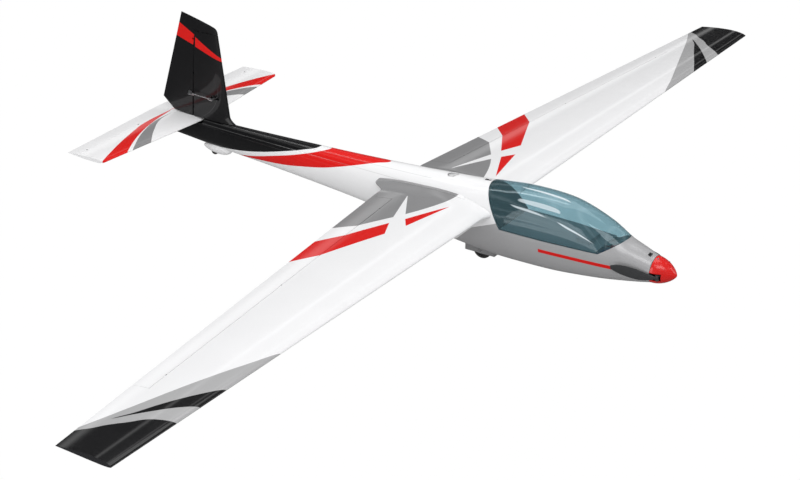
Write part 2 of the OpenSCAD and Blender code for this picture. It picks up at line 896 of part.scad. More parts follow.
module rudder() {
    color("black") from_ground() {
        difference() {
            union() {
                difference() {
                    intersection() {
                        fin_form();
                        side_view()
                            difference() {
                                polygon([
                                    [rudder_y(fin_base), fin_base], rudder_kink, rudder_heel,
                                    [900, rudder_heel[1]], [900, 300], [650, 300], [650, cap_z + 0.6],
                                    [rudder_y(cap_z), cap_z + 0.6]
                                ]);
                                corner_off(fin_nose_top, -98.2, 14.4, cap_round);
                            }
                    }
                    rudder_bevels();
                }
                rudder_frame() taper(rudder_r_high, rudder_r_low, rudder_len - 2);
            }
            rudder_hinges() knuckle_room(rudder_r_low);
        }
        rudder_link_frame() horn(3);
    }
}

module rudder_servo() {
    color("dimgray") from_ground()
        rudder_link_frame() translate([0, -rudder_servo_back, 0]) servo(servo_reach);
}

module rudder_arm() {
    color("silver") from_ground()
        rudder_link_frame() translate([0, -rudder_servo_back, 0]) servo_arm(servo_reach);
}

module rudder_pushrod() {
    color("silver") from_ground() rudder_link_frame() pushrod(rudder_servo_back);
}

// Tailplane's leading and trailing edges at a distance from the centre plane
stab_nose_root = 762.6;
stab_nose_tip = 789;
stab_tail_root = 897.5;
stab_tail_tip = 887;
function stab_nose(x) = mix(stab_nose_root, stab_nose_tip, abs(x) / stab_half);
function stab_tail(x) = mix(stab_tail_root, stab_tail_tip, abs(x) / stab_half);
function stab_ring(x) = [for (p = tail_outline())
    let (c = stab_tail(x) - stab_nose(x))
    [x, stab_nose(x) + p[0] * c, stab_z + p[1] * c]];

module stab_form() {
    difference() {
        loft([for (x = [-stab_half, 0, stab_half]) stab_ring(x)]);
        both_sides()
            linear_extrude(far, center = true)
                corner_off([stab_half, stab_nose_tip], 90, 185, 12);
    }
}

elevator_r_root = 3.05;
elevator_r_tip = 2.2;
module elevator_half_frames() {
    for (s = [-1, 1])
        on_line([0, elevator_y, stab_z], [s * stab_half, elevator_y, stab_z]) children();
}

elevator_places = [-0.9, -0.35, 0.35, 0.9];
module elevator_hinges() {
    for (s = elevator_places)
        translate([s * stab_half, elevator_y, stab_z]) children();
}

// Room in the body's top for the tailplane
module stab_slot() {
    translate([-30, stab_nose_root - 4, stab_z - 5.7]) cube([60, 100, 40]);
}

module stabilizer() {
    color("whitesmoke") from_ground()
        difference() {
            intersection() {
                stab_form();
                translate([-far, elevator_y - 1.3 - far, -50]) cube([2 * far, far, 100]);
            }
            elevator_half_frames() taper(elevator_r_root + 0.4, elevator_r_tip + 0.4, stab_half + 1);
            elevator_hinges() lug_room();
        }
}

elevator_rod_x = 5.6;
elevator_rod_z = stab_z - lever_len;
elevator_servo_back = 150;
module elevator() {
    color("whitesmoke") from_ground() {
        difference() {
            union() {
                intersection() {
                    stab_form();
                    translate([-far, elevator_y, -50]) cube([2 * far, far, 100]);
                }
                elevator_half_frames() taper(elevator_r_root, elevator_r_tip, stab_half);
            }
            elevator_hinges() knuckle_room(elevator_r_root);
        }
        translate([elevator_rod_x, elevator_y, stab_z]) horn(2);
    }
}

// The elevator servo sits below its pushrod, so its lever points up
module elevator_servo_frame() {
    translate([elevator_rod_x, elevator_y - elevator_servo_back, elevator_rod_z - lever_len])
        mirror([0, 0, 1]) children();
}

module elevator_servo() {
    color("dimgray") from_ground() elevator_servo_frame() servo(servo_reach);
}

module elevator_arm() {
    color("white") from_ground() elevator_servo_frame() servo_arm(servo_reach);
}

module elevator_pushrod() {
    color("silver") from_ground() translate([elevator_rod_x, elevator_y, stab_z]) pushrod(elevator_servo_back);
}

// ---- Wheels ----

pod_half = 11.5;
pod_wall = 2;
main_axle_r = 1.5;
tail_slot = 4.5;
tail_axle_r = 0.9;

// Room in the belly for the wheel pod
module pod_cut() {
    translate([-pod_half - gap, main_y - 36, main_z - 20]) cube([2 * (pod_half + gap), 72, 56]);
}

module main_wheel_pod() {
    color("gray") from_ground()
        difference() {
            translate([-pod_half, main_y - 35, main_z - 5.5]) cube([2 * pod_half, 70, 38]);
            translate([-pod_half + pod_wall, main_y - 33, main_z - 10]) cube([2 * (pod_half - pod_wall), 66, 40.5]);
            translate([0, main_y, main_z]) x_rod(main_axle_r, 60);
        }
}

module main_wheel_hub() {
    color("gray") from_ground()
        difference() {
            union() {
                translate([0, main_y, main_z]) x_rod(main_r - 8, 9);
                translate([0, main_y, main_z]) x_rod(4, 17);
            }
            translate([0, main_y, main_z]) x_rod(main_axle_r + run, 40);
        }
}

module main_wheel_tyre() {
    color("black") from_ground()
        translate([0, main_y, main_z])
            rotate([0, 90, 0])
                rotate_extrude($fn = 64)
                    difference() {
                        union() {
                            translate([main_r - 7, 0]) circle(7);
                            translate([main_r - 8, -5]) square([2, 10]);
                        }
                        translate([-10, -10]) square([main_r + 2, 20]);
                    }
}

module main_axle() {
    color("silver") from_ground() {
        translate([0, main_y, main_z]) x_rod(main_axle_r, 2 * pod_half);
        for (s = [-1, 1])
            translate([s * (pod_half + 0.6), main_y, main_z]) x_rod(2.6, 1.2);
    }
}

// Streamlined blister under the tail boom, open below for the wheel
blister_len = 76;
blister_r = 12.5;
function blister(s) = blister_r * sqrt(max(0, 1 - s * s)) * (1 - 0.25 * s);
module tail_wheel_pod() {
    color("whitesmoke") from_ground()
        difference() {
            translate([0, tail_y - 9, -46])
                rotate([90, 0, 0])
                    rotate_extrude()
                        polygon([for (i = [0 : 12]) let (s = -cos(15 * i)) [blister(s), -s * blister_len / 2]]);
            hull_form(tail_y - 80, tail_y + 80, 3, gap);
            translate([-40, tail_y - 80, hull_mid(tail_y)]) cube([80, 160, 60]);
            translate([-tail_slot, tail_y - tail_r - 1.5, -80]) cube([2 * tail_slot, 2 * tail_r + 3, 60]);
            translate([0, tail_y, tail_z]) x_rod(tail_axle_r, 40);
        }
}

module tail_wheel() {
    color("black") from_ground()
        translate([0, tail_y, tail_z])
            rotate([0, 90, 0])
                rotate_extrude($fn = 48)
                    difference() {
                        union() {
                            translate([tail_r - 3.2, 0]) circle(3.2);
                            translate([tail_axle_r + run, -2.6]) square([tail_r - 4, 5.2]);
                        }
                        translate([-1, -5]) square([1 + tail_axle_r + run, 10]);
                    }
}

module tail_axle() {
    color("silver") from_ground() translate([0, tail_y, tail_z]) x_rod(tail_axle_r, 2 * tail_slot + 5);
}

// ---- Drive, drawn with local +Z forward along the thrust line and the nose ring at 0 ----

module thrust_frame() {
    translate([0, ring_y, ring_z]) rotate([90 + thrust_tilt, 0, 0]) children();
}

firewall_z = -7;
firewall_thick = 3;
motor_r = 14;
bearing_r = 4.5;
shaft_r = 2;
screw_circle_r = 8.5;
mount_thick = 2.5;
can_long = 22;

module screw_holes(r, depth) {
    for (a = [45 : 90 : 315])
        rotate([0, 0, a]) translate([screw_circle_r, 0, 0]) cylinder(r = r, h = depth, center = true);
}

module firewall() {
    color("burlywood") from_ground()
        thrust_frame()
            translate([0, 0, firewall_z])
                difference() {
                    cylinder(r = 25.5, h = firewall_thick);
                    cylinder(r = 5.5, h = 20, center = true);
                    screw_holes(1.1, 20);
                    for (a = [0 : 90 : 270])
                        rotate([0, 0, a]) translate([17, 0, 0]) cylinder(r = 3.2, h = 20, center = true);
                }
}

module motor_mount() {
    color("silver") from_ground()
        thrust_frame()
            difference() {
                union() {
                    translate([0, 0, firewall_z - mount_thick]) cylinder(r = 12, h = mount_thick);
                    translate([0, 0, firewall_z - mount_thick - can_long]) cylinder(r = bearing_r, h = can_long + 1);
                }
                cylinder(r = shaft_r + run, h = 200, center = true);
                translate([0, 0, firewall_z]) screw_holes(1, 8);
            }
}

module motor_screws() {
    color("silver") from_ground()
        thrust_frame()
            for (a = [45 : 90 : 315])
                rotate([0, 0, a])
                    translate([screw_circle_r, 0, firewall_z + firewall_thick]) {
                        cylinder(r = 1.9, h = 1.6);
                        translate([0, 0, -5]) cylinder(r = 1, h = 5.5);
                    }
}

// Twelve wound poles round the bearing tube
module motor_stator() {
    color("peru") from_ground()
        thrust_frame()
            translate([0, 0, firewall_z - mount_thick - can_long + 3.5])
                difference() {
                    union() {
                        cylinder(r = 6.5, h = 14);
                        for (a = [0 : 30 : 330])
                            rotate([0, 0, a]) translate([4.6, -1.3, 1]) cube([6.4, 2.6, 12]);
                    }
                    cylinder(r = bearing_r, h = 60, center = true);
                }
}

module motor_can() {
    color("dimgray") from_ground()
        thrust_frame()
            translate([0, 0, firewall_z - mount_thick - can_long - 2.5])
                difference() {
                    cylinder(r = motor_r, h = can_long);
                    translate([0, 0, 2]) cylinder(r = motor_r - 2, h = can_long);
                    cylinder(r = shaft_r, h = 20, center = true);
                    for (a = [0 : 60 : 300])
                        rotate([0, 0, a]) translate([7.5, 0, 0]) cylinder(r = 1.8, h = 20, center = true);
                }
}

module motor_shaft() {
    color("silver") from_ground()
        thrust_frame()
            translate([0, 0, firewall_z - mount_thick - can_long - 3]) cylinder(r = shaft_r, h = 58);
}

// ---- Propeller and spinner ----

plate_z = 1;
plate_thick = 2.5;
blade_pin_rad = 1.5;
lug_r = 3.4;
lug_wide = 6;
spinner_wall = 1.3;
notch_wide = 17;

module blade_sides() {
    for (a = [prop_turn, prop_turn + 180]) rotate([0, 0, a]) children();
}

// Where a blade passes through the spinner and back over its plate
module blade_notch(inner) {
    translate([inner, -notch_wide / 2, -1]) cube([40, notch_wide, blade_pin_z + 6.5]);
}

module propeller_hub() {
    color("dimgray") from_ground()
        thrust_frame()
            difference() {
                union() {
                    difference() {
                        translate([0, 0, plate_z]) cylinder(r = spinner_r - spinner_wall - 0.5, h = plate_thick);
                        blade_sides() blade_notch(spinner_r - 6.5);
                    }
                    translate([0, 0, plate_z]) cylinder(r = 6.5, h = blade_pin_z + 6);
                    blade_sides() {
                        for (s = [-1, 1])
                            translate([3, s * (lug_wide / 2 + 1.4) - 1.2, blade_pin_z - 3.4])
                                cube([blade_pin_r - 3, 2.4, 6.8]);
                        for (s = [-1, 1])
                            translate([blade_pin_r, s * (lug_wide / 2 + 1.4), blade_pin_z]) y_rod(3.4, 2.4);
                        translate([3, -lug_wide / 2 - 1.4, blade_pin_z - 3.4]) cube([10, lug_wide + 2.8, 6.8]);
                    }
                    for (a = [90, 270])
                        rotate([0, 0, a + prop_turn])
                            translate([14, -3, plate_z]) cube([9, 6, 8.5]);
                }
                cylinder(r = shaft_r, h = 200, center = true);
                blade_sides() translate([blade_pin_r, 0, blade_pin_z]) y_rod(blade_pin_rad, 60);
                for (a = [90, 270])
                    rotate([0, 0, a + prop_turn]) translate([20, 0, plate_z + 5.5]) x_rod(1, 12);
            }
}

module blade_pins() {
    color("silver") from_ground()
        thrust_frame()
            blade_sides() translate([blade_pin_r, 0, blade_pin_z]) y_rod(blade_pin_rad, lug_wide + 5.2);
}

// Spinner radius at a distance ahead of its base
function ogive(z) = spinner_r * pow(max(0, 1 - pow(z / spinner_len, 1.8)), 0.72);
function ogive_inner(z) = max(0, ogive(z) - spinner_wall - 1.2 * z / spinner_len);
ogive_steps = 14;

module spinner() {
    inner_len = spinner_len - 5;
    color("red") from_ground()
        thrust_frame()
            translate([0, 0, plate_z])
                difference() {
                    rotate_extrude($fn = 96)
                        polygon(concat(
                            [for (i = [0 : ogive_steps])
                                let (z = spinner_len * sin(90 * i / ogive_steps)) [ogive(z), z]],
                            [for (i = [ogive_steps : -1 : 0])
                                let (z = inner_len * sin(90 * i / ogive_steps))
                                [i == ogive_steps ? 0 : ogive_inner(z), z]]
                        ));
                    blade_sides() blade_notch(8);
                    for (a = [90, 270])
                        rotate([0, 0, a + prop_turn]) {
                            translate([25, 0, 5.5]) x_rod(1, 20);
                            translate([spinner_r - 0.9, 0, 5.5]) x_rod_from(2, 10);
                        }
                }
}

module spinner_screws() {
    color("black") from_ground()
        thrust_frame()
            for (a = [90, 270])
                rotate([0, 0, a + prop_turn])
                    translate([0, 0, plate_z + 5.5]) {
                        translate([18, 0, 0]) x_rod_from(1, spinner_r - 18 - 0.5);
                        translate([spinner_r - 0.9, 0, 0]) x_rod_from(1.9, 0.8);
                    }
}

// Blade sections along the blade: distance from the pin, chord, thickness, twist, sweep
blade_rows = [
    [3, 6, 3.6, 0, 0],
    [14, 12, 3, 10, -0.3],
    [34, 21, 2.3, 12, -3],
    [58, 23, 1.9, 9, -8.5],
    [78, 18, 1.5, 7, -13],
    [92, 8, 1, 6, -15.5]
];

function blade_ring(s, grow) =
    let (
        c = along(blade_rows, s, 1) * grow,
        t = along(blade_rows, s, 2) * grow,
        turn = along(blade_rows, s, 3),
        off = along(blade_rows, s, 4)
    )
    [for (i = [0 : 19])
        let (u = cos(18 * i) * c / 2, v = sin(18 * i) * t / 2)
        [s, off + u * cos(turn) - v * sin(turn), u * sin(turn) + v * cos(turn)]];

// Blade at rest, folded back; its frame has +X out along the blade and the pin along Y
module blade(side) {
    thrust_frame()
        rotate([0, 0, prop_turn + side])
            translate([blade_pin_r, 0, blade_pin_z])
                rotate([0, 90 - blade_fold, 0])
                    difference() {
                        union() {
                            y_rod(lug_r, lug_wide - 0.4);
                            loft([
                                for (s = [3, 8, 14, 24, 34, 46, 58, 68, 78, 84, blade_len - 2]) blade_ring(s, 1),
                                blade_ring(blade_len - 1, 0.5)
                            ]);
                        }
                        y_rod(blade_pin_rad + run, 30);
                    }
}

module propeller_blade_left() {
    color("dimgray") from_ground() blade(0);
}

module propeller_blade_right() {
    color("dimgray") from_ground() blade(180);
}

// ---- Equipment inside the nose ----

duct_y = ring_y + 9;
duct_x = -6;
duct_half = 5;
module duct_cut() {
    translate([duct_x - duct_half - gap, duct_y - 3 - gap, -32])
        cube([2 * duct_half + 2 * gap, 6 + 2 * gap, 40]);
}

module cooling_duct() {
    color("black") from_ground()
        difference() {
            translate([duct_x - duct_half, duct_y - 3, -20]) cube([2 * duct_half, 6, 6.5]);
            translate([duct_x - duct_half + 1, duct_y - 2, -30]) cube([2 * duct_half - 2, 4, 40]);
        }
}

tray_z = -66;
tray_thick = 3;
tray_front = -296;
tray_back = -70;
module equipment_tray() {
    color("burlywood") from_ground()
        difference() {
            translate([0, 0, tray_z])
                linear_extrude(tray_thick)
                    polygon(floor_outline(tray_front, tray_back, tray_z, shell_wall + 3 * gap));
            for (y = [-250, -180])
                for (s = [-1, 1])
                    translate([s * 20.2 - 1.8, y - 11, tray_z - 5]) cube([3.6, 22, 20]);
        }
}

battery_long = 105;
battery_wide = 35;
battery_tall = 24;
battery_y = -267;
module battery() {
    color("steelblue") from_ground()
        translate([-battery_wide / 2, battery_y, tray_z + tray_thick + 0.1])
            cube([battery_wide, battery_long, battery_tall]);
}

// Hook and loop strap round the battery and the tray
module battery_strap() {
    strap_inner = [battery_wide + 4, 16, tray_thick + battery_tall + 2];
    color("black") from_ground()
        difference() {
            translate([-strap_inner.x / 2 - 1.4, -188, tray_z - 2.6])
                cube([strap_inner.x + 2.8, strap_inner.y, strap_inner.z + 4]);
            translate([-strap_inner.x / 2, -200, tray_z - 1]) cube([strap_inner.x, 40, strap_inner.z]);
        }
}

module speed_controller() {
    color("orangered") from_ground()
        translate([-14, -150, tray_z + tray_thick + 0.1]) cube([28, 48, 9]);
}

module receiver() {
    color("slategray") from_ground()
        translate([-11, -97, tray_z + tray_thick + 0.1]) {
            cube([22, 24, 13]);
            for (x = [2 : 4 : 18])
                translate([x, 24, 3]) cube([2.4, 3, 8]);
        }
}

fuselage_left();
fuselage_right();
firewall();
equipment_tray();
cooling_duct();
battery();
battery_strap();
speed_controller();
receiver();
wing_left();
wing_right();
wing_fairing_left();
wing_fairing_right();
wing_joiner_tube();
wing_spars();
alignment_pins();
joiner_clamp();
wing_lock_screw();
aileron_left();
aileron_right();
hinge_lugs();
hinge_pins();
aileron_servos();
aileron_arm_left();
aileron_arm_right();
aileron_pushrod_left();
aileron_pushrod_right();
fin();
rudder();
stabilizer();
elevator();
rudder_servo();
elevator_servo();
rudder_arm();
elevator_arm();
rudder_pushrod();
elevator_pushrod();
canopy_glass();
canopy_deck();
canopy_bulkhead();
canopy_latch();
latch_guide();
main_wheel_pod();
main_wheel_hub();
main_wheel_tyre();
main_axle();
tail_wheel_pod();
tail_wheel();
tail_axle();
motor_mount();
motor_stator();
motor_can();
motor_shaft();
motor_screws();
propeller_hub();
propeller_blade_left();
propeller_blade_right();
spinner();
spinner_screws();
blade_pins();
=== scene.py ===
import functools
import json
import math

import bmesh
import bpy
import numpy as np
from mathutils import Matrix, Vector


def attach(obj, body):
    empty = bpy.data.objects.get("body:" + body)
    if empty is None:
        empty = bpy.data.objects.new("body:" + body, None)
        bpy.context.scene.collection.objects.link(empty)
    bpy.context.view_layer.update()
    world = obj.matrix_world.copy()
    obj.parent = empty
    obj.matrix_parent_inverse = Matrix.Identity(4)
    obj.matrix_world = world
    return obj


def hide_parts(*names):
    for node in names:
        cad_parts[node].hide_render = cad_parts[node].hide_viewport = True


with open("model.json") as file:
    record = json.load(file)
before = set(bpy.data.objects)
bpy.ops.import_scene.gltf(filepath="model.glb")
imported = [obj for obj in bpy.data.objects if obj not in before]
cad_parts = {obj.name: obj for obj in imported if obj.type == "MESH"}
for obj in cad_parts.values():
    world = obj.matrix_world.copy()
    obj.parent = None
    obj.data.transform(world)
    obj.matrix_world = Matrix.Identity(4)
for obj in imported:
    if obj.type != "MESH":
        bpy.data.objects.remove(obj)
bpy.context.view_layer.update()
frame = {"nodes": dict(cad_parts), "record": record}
MM = 0.001
FAR = 400.0
# The laws count from the wing's leading edge at the centre plane; the frame's origin is on the ground
# below the main wheel.
SHIFT = np.array([0.0, -42.0, 129.0])


# ---- Shape laws ----

HULL_ROWS = np.array([
    [-349, -17.5, -73.5, 27.5],
    [-320, -6, -79.5, 34],
    [-290, 5, -85, 40],
    [-245, 31, -93, 47],
    [-180, 54.5, -101, 53],
    [-130, 61, -105, 56.5],
    [-60, 60.5, -106.5, 58],
    [0, 54, -106, 57.5],
    [60, 46, -101.5, 55],
    [120, 41.5, -95.5, 51],
    [200, 36, -87, 44.5],
    [360, 28, -69.5, 32.5],
    [560, 21.5, -53.5, 22],
    [700, 18.5, -44.5, 16.5],
    [843, 19, -33, 11.5],
])
RING_Y, RING_Z, THRUST_TILT = -349.0, -45.5, 3.7
LEAN_LENGTH = 29.0
CANOPY_FRONT, SILL_FRONT, SILL_REAR, CANOPY_REAR = -290.0, -245.0, -28.0, 21.7
SILL_Z = -24.0
SHELL_WALL, GLASS_WALL, CANOPY_RAISE, GLASS_ENDS = 1.4, 1.0, 0.9, (2, 3)
TAIL_END, TAIL_WALL = 843.0, 2.0

HALF_SPAN, ROOT_CHORD, TIP_CHORD, LE_SWEEP = 1200.0, 254.0, 118.0, 9.7
WING_THICKNESS, WING_CAMBER, TAIL_THICKNESS = 0.085, 0.02, 0.08
RIB_X = 84.0
AILERON_IN, AILERON_OUT = 110.0, 978.5
HINGE_IN, HINGE_OUT = 193.5, 114.3
AXIS_DEPTH = 1.6
ROOT_FLARE, FAIRING_FRONT, FAIRING_BACK = 4.0, 8.0, 34.0
SERVO_BACK, SERVO_REACH, SERVO_TALL, SERVO_THIN = 66.0, 2.6, 16.0, 8.6
LEVER_LEN, LEVER_THICK, LOBE_LEN, KNUCKLE_HALF = 16.0, 1.6, 14.0, 2.5
AILERON_LINK, AILERON_TRAVEL = 350.0, 25.0

FIN_BASE = 19.2
FIN_NOSE_LOW, FIN_TAIL_LOW = (687.1, FIN_BASE), (882.1, FIN_BASE)
FIN_NOSE_TOP, FIN_TAIL_TOP = (717.3, 229.8), (813.6, 254.5)
CAP_Z, CAP_ROUND = 218.5, 16.0
FILLET_LEN, FILLET_TALL = 14.0, 16.0
RUDDER_LOW, RUDDER_HIGH = (786.7, FIN_BASE), (779.8, CAP_Z)
RUDDER_KINK, RUDDER_HEEL = (841.5, 20.8), (874.6, 44.9)
RUDDER_R_LOW, RUDDER_R_HIGH = 4.6, 2.7

STAB_HALF, STAB_Z, ELEVATOR_Y = 307.7, 13.0, 859.0
STAB_NOSE, STAB_TAIL = (762.6, 789.0), (897.5, 887.0)
ELEVATOR_R_ROOT, ELEVATOR_R_TIP = 3.05, 2.2
STAB_ROUND = 12.0


def mix(a, b, s):
    return a + (b - a) * s


def ease(s):
    s = min(1.0, max(0.0, s))
    return s * s * (3 - 2 * s)


def along(rows, y, column):
    """Column of a table at distance y, on a smooth curve through its rows."""
    places = rows[:, 0]
    y = np.clip(np.asarray(y, float), places[0], places[-1])
    i = np.clip(np.searchsorted(places, y, side="right") - 1, 0, len(rows) - 2)
    count = np.arange(len(rows))
    before, after = np.maximum(count - 1, 0), np.minimum(count + 1, len(rows) - 1)
    slopes = (rows[after, column] - rows[before, column]) / (places[after] - places[before])
    h = places[i + 1] - places[i]
    s = (y - places[i]) / h
    return (
        (1 + 2 * s) * (1 - s) ** 2 * rows[i, column]
        + s * (1 - s) ** 2 * h * slopes[i]
        + s * s * (3 - 2 * s) * rows[i + 1, column]
        + s * s * (s - 1) * h * slopes[i + 1]
    )


def hull_top(y):
    return along(HULL_ROWS, y, 1)


def hull_mid(y):
    return (along(HULL_ROWS, y, 1) + along(HULL_ROWS, y, 2)) / 2


def hull_tall(y):
    return (along(HULL_ROWS, y, 1) - along(HULL_ROWS, y, 2)) / 2


def hull_wide(y):
    return along(HULL_ROWS, y, 3)


def lean(y):
    """Share of the thrust line's tilt that a section near the nose takes."""
    share = np.clip((RING_Y + LEAN_LENGTH - np.asarray(y, float)) / LEAN_LENGTH, 0, 1)
    return share * math.tan(math.radians(THRUST_TILT))


def hull_point(y, angle, inset=0.0):
    """Point of the body's section at y, at an angle in radians from its top."""
    rise = (hull_tall(y) - inset) * np.cos(angle)
    return np.stack([
        (hull_wide(y) - inset) * np.sin(angle),
        y - lean(y) * rise,
        hull_mid(y) + rise,
    ], axis=-1)


def hull_half(y, z, inset=0.0):
    """Half width of the body at a height."""
    s = (z - hull_mid(y)) / (hull_tall(y) - inset)
    return (hull_wide(y) - inset) * np.sqrt(np.maximum(0, 1 - s * s))


def hull_field(points):
    """Below 0 inside the body's skin, 0 on it."""
    y = points[:, 1].copy()
    for _ in range(4):
        y = points[:, 1] + lean(y) * (points[:, 2] - hull_mid(y))
    return (points[:, 0] / hull_wide(y)) ** 2 + ((points[:, 2] - hull_mid(y)) / hull_tall(y)) ** 2 - 1


def cut_z(y):
    """Height of the canopy's cut line."""
    front, rear = hull_top(CANOPY_FRONT), hull_top(CANOPY_REAR)
    if y < SILL_FRONT:
        return mix(front, SILL_Z, (y - CANOPY_FRONT) / (SILL_FRONT - CANOPY_FRONT))
    if y < SILL_REAR:
        return SILL_Z
    return mix(SILL_Z, rear, (y - SILL_REAR) / (CANOPY_REAR - SILL_REAR))


def cut_angle(y, lift=0.0):
    if y <= CANOPY_FRONT or y >= CANOPY_REAR:
        return 0.0
    return math.acos(max(-1.0, min(1.0, (cut_z(y) + lift - hull_mid(y)) / hull_tall(y))))


def half_thick(t, share):
    return 5 * share * (0.2969 * np.sqrt(t) - 0.126 * t - 0.3516 * t**2 + 0.2843 * t**3 - 0.101 * t**4)


def camber(t):
    return WING_CAMBER * np.where(t < 0.4, (0.8 * t - t * t) / 0.16, (0.2 + 0.8 * t - t * t) / 0.36)


def chord_shares(steps):
    """Chord share and side, along the top from the tail, then back underneath."""
    i = np.arange(-steps, steps + 1)
    return (1 - np.cos(np.pi * np.abs(i) / steps)) / 2, -np.sign(i)


def wing_chord(x):
    return mix(ROOT_CHORD, TIP_CHORD, abs(x) / HALF_SPAN)


def wing_nose(x):
    return LE_SWEEP * abs(x) / HALF_SPAN


def wing_ring(x, steps=56):
    t, side = chord_shares(steps)
    chord = wing_chord(x)
    z = chord * (camber(t) + side * half_thick(t, WING_THICKNESS))
    return np.stack([np.full_like(t, x), wing_nose(x) + t * chord, z], axis=-1)


def wing_top(x, y):
    chord = wing_chord(x)
    t = np.clip((y - wing_nose(x)) / chord, 0, 1)
    return float(chord * (camber(t) + half_thick(t, WING_THICKNESS)))


def aileron_y(x):
    return mix(HINGE_IN, HINGE_OUT, (x - AILERON_IN) / (AILERON_OUT - AILERON_IN))


def rudder_y(z):
    return mix(RUDDER_LOW[0], RUDDER_HIGH[0], (z - RUDDER_LOW[1]) / (RUDDER_HIGH[1] - RUDDER_LOW[1]))


def fin_ring(s, steps=40):
    """Fin section at a share s of its height; its front edge sweeps forward into the boom."""
    t, side = chord_shares(steps)
    low = (mix(FIN_NOSE_LOW[0], FIN_TAIL_LOW[0], t), np.full_like(t, FIN_BASE))
    height = s * (FIN_NOSE_TOP[1] - FIN_BASE)
    sweep = FILLET_LEN * max(0.0, 1 - height / FILLET_TALL) ** 2 * (1 - t) ** 4
    high = (mix(FIN_NOSE_TOP[0], FIN_TAIL_TOP[0], t), mix(FIN_NOSE_TOP[1], FIN_TAIL_TOP[1], t))
    chord = mix(FIN_TAIL_LOW[0] - FIN_NOSE_LOW[0], FIN_TAIL_TOP[0] - FIN_NOSE_TOP[0], s)
    return np.stack([
        side * chord * half_thick(t, TAIL_THICKNESS),
        mix(low[0], high[0], s) - sweep,
        mix(low[1], high[1], s),
    ], axis=-1)


def stab_ring(x, steps=40):
    t, side = chord_shares(steps)
    s = abs(x) / STAB_HALF
    nose, tail = mix(*STAB_NOSE, s), mix(*STAB_TAIL, s)
    chord = tail - nose
    z = STAB_Z + side * chord * half_thick(t, TAIL_THICKNESS)
    return np.stack([np.full_like(t, x), nose + t * chord, z], axis=-1)


# ---- Mesh helpers ----

def new_mesh(name, points, faces):
    """Object from points in mm."""
    mesh = bpy.data.meshes.new(name)
    mesh.from_pydata([tuple(p) for p in (np.asarray(points, float) + SHIFT) * MM], [], faces)
    mesh.validate()
    obj = bpy.data.objects.new(name, mesh)
    bpy.context.scene.collection.objects.link(obj)
    return obj


def moved(matrix, points):
    """Points taken through a 4 by 4 matrix."""
    if matrix is None:
        return points
    m = np.array(matrix, float)
    return np.asarray(points, float) @ m[:3, :3].T + m[:3, 3]


def grid_faces(rings, n, columns):
    """Faces between neighbouring rings of n points each."""
    return [
        (i * n + j, i * n + (j + 1) % n, (i + 1) * n + (j + 1) % n, (i + 1) * n + j)
        for i in range(rings - 1)
        for j in range(columns)
    ]


def loft(name, rings, matrix=None):
    """Closed solid through rings of points, with a flat face at each end."""
    rings = [moved(matrix, ring) for ring in rings]
    n = len(rings[0])
    faces = grid_faces(len(rings), n, n)
    faces.append(tuple(range(n - 1, -1, -1)))
    faces.append(tuple((len(rings) - 1) * n + j for j in range(n)))
    obj = new_mesh(name, np.concatenate(rings), faces)
    outward(obj)
    return obj


def outward(obj):
    """Turns a closed mesh's faces outwards."""
    bpy.context.view_layer.objects.active = obj
    for other in bpy.context.selected_objects:
        other.select_set(False)
    obj.select_set(True)
    bpy.ops.object.mode_set(mode="EDIT")
    bpy.ops.mesh.select_all(action="SELECT")
    bpy.ops.mesh.normals_make_consistent(inside=False)
    bpy.ops.object.mode_set(mode="OBJECT")


def prism(outline, axis, low, high, matrix=None):
    """Outline pushed along axis 0, 1 or 2 between two distances."""
    order = {0: (1, 2), 1: (0, 2), 2: (0, 1)}[axis]
    rings = []
    for level in (low, high):
        ring = np.zeros((len(outline), 3))
        ring[:, axis] = level
        ring[:, order[0]] = [p[0] for p in outline]
        ring[:, order[1]] = [p[1] for p in outline]
        rings.append(ring)
    return loft("cutter", rings, matrix)


def block(low, high, matrix=None):
    corners = [(low[0], low[1]), (high[0], low[1]), (high[0], high[1]), (low[0], high[1])]
    return prism(corners, 2, low[2], high[2], matrix)


def frustum(start, end, r1, r2, steps=48, matrix=None):
    """Round bar from start to end, with radius r1 turning into r2."""
    start, end = np.array(start, float), np.array(end, float)
    axis = (end - start) / np.linalg.norm(end - start)
    side = np.cross(axis, [0, 0, 1] if abs(axis[2]) < 0.9 else [1, 0, 0])
    side /= np.linalg.norm(side)
    other = np.cross(axis, side)
    angles = np.linspace(0, 2 * np.pi, steps, endpoint=False)[:, None]
    circle = np.cos(angles) * side + np.sin(angles) * other
    return loft("cutter", [start + r1 * circle, end + r2 * circle], matrix)


def lathe(profile, centre, steps=64):
    """Solid turned about a vertical line, from a profile of (radius, height)."""
    angles = np.linspace(0, 2 * np.pi, steps, endpoint=False)
    x, y = np.cos(angles), np.sin(angles)
    return loft("cutter", [
        np.stack([centre[0] + r * x, centre[1] + r * y, np.full_like(angles, z)], axis=-1)
        for r, z in profile
    ])


def carve(obj, cutter, operation="DIFFERENCE"):
    """Applies one boolean and deletes its cutter."""
    modifier = obj.modifiers.new("carve", "BOOLEAN")
    modifier.object = cutter
    modifier.operation = operation
    modifier.solver = "EXACT"
    bpy.context.view_layer.update()
    made = bpy.data.meshes.new_from_object(obj.evaluated_get(bpy.context.evaluated_depsgraph_get()))
    obj.modifiers.clear()
    old, obj.data = obj.data, made
    made.name = obj.name
    bpy.data.meshes.remove(old)
    bpy.data.objects.remove(cutter)
    return obj


def carve_all(obj, cutters):
    for cutter in cutters:
        carve(obj, cutter)
    return obj


def shade(obj, angle=30.0):
    """Smooth shading with sharp edges above an angle in degrees."""
    obj.data.shade_smooth()
    obj.data.set_sharp_from_angle(angle=math.radians(angle))
    return obj


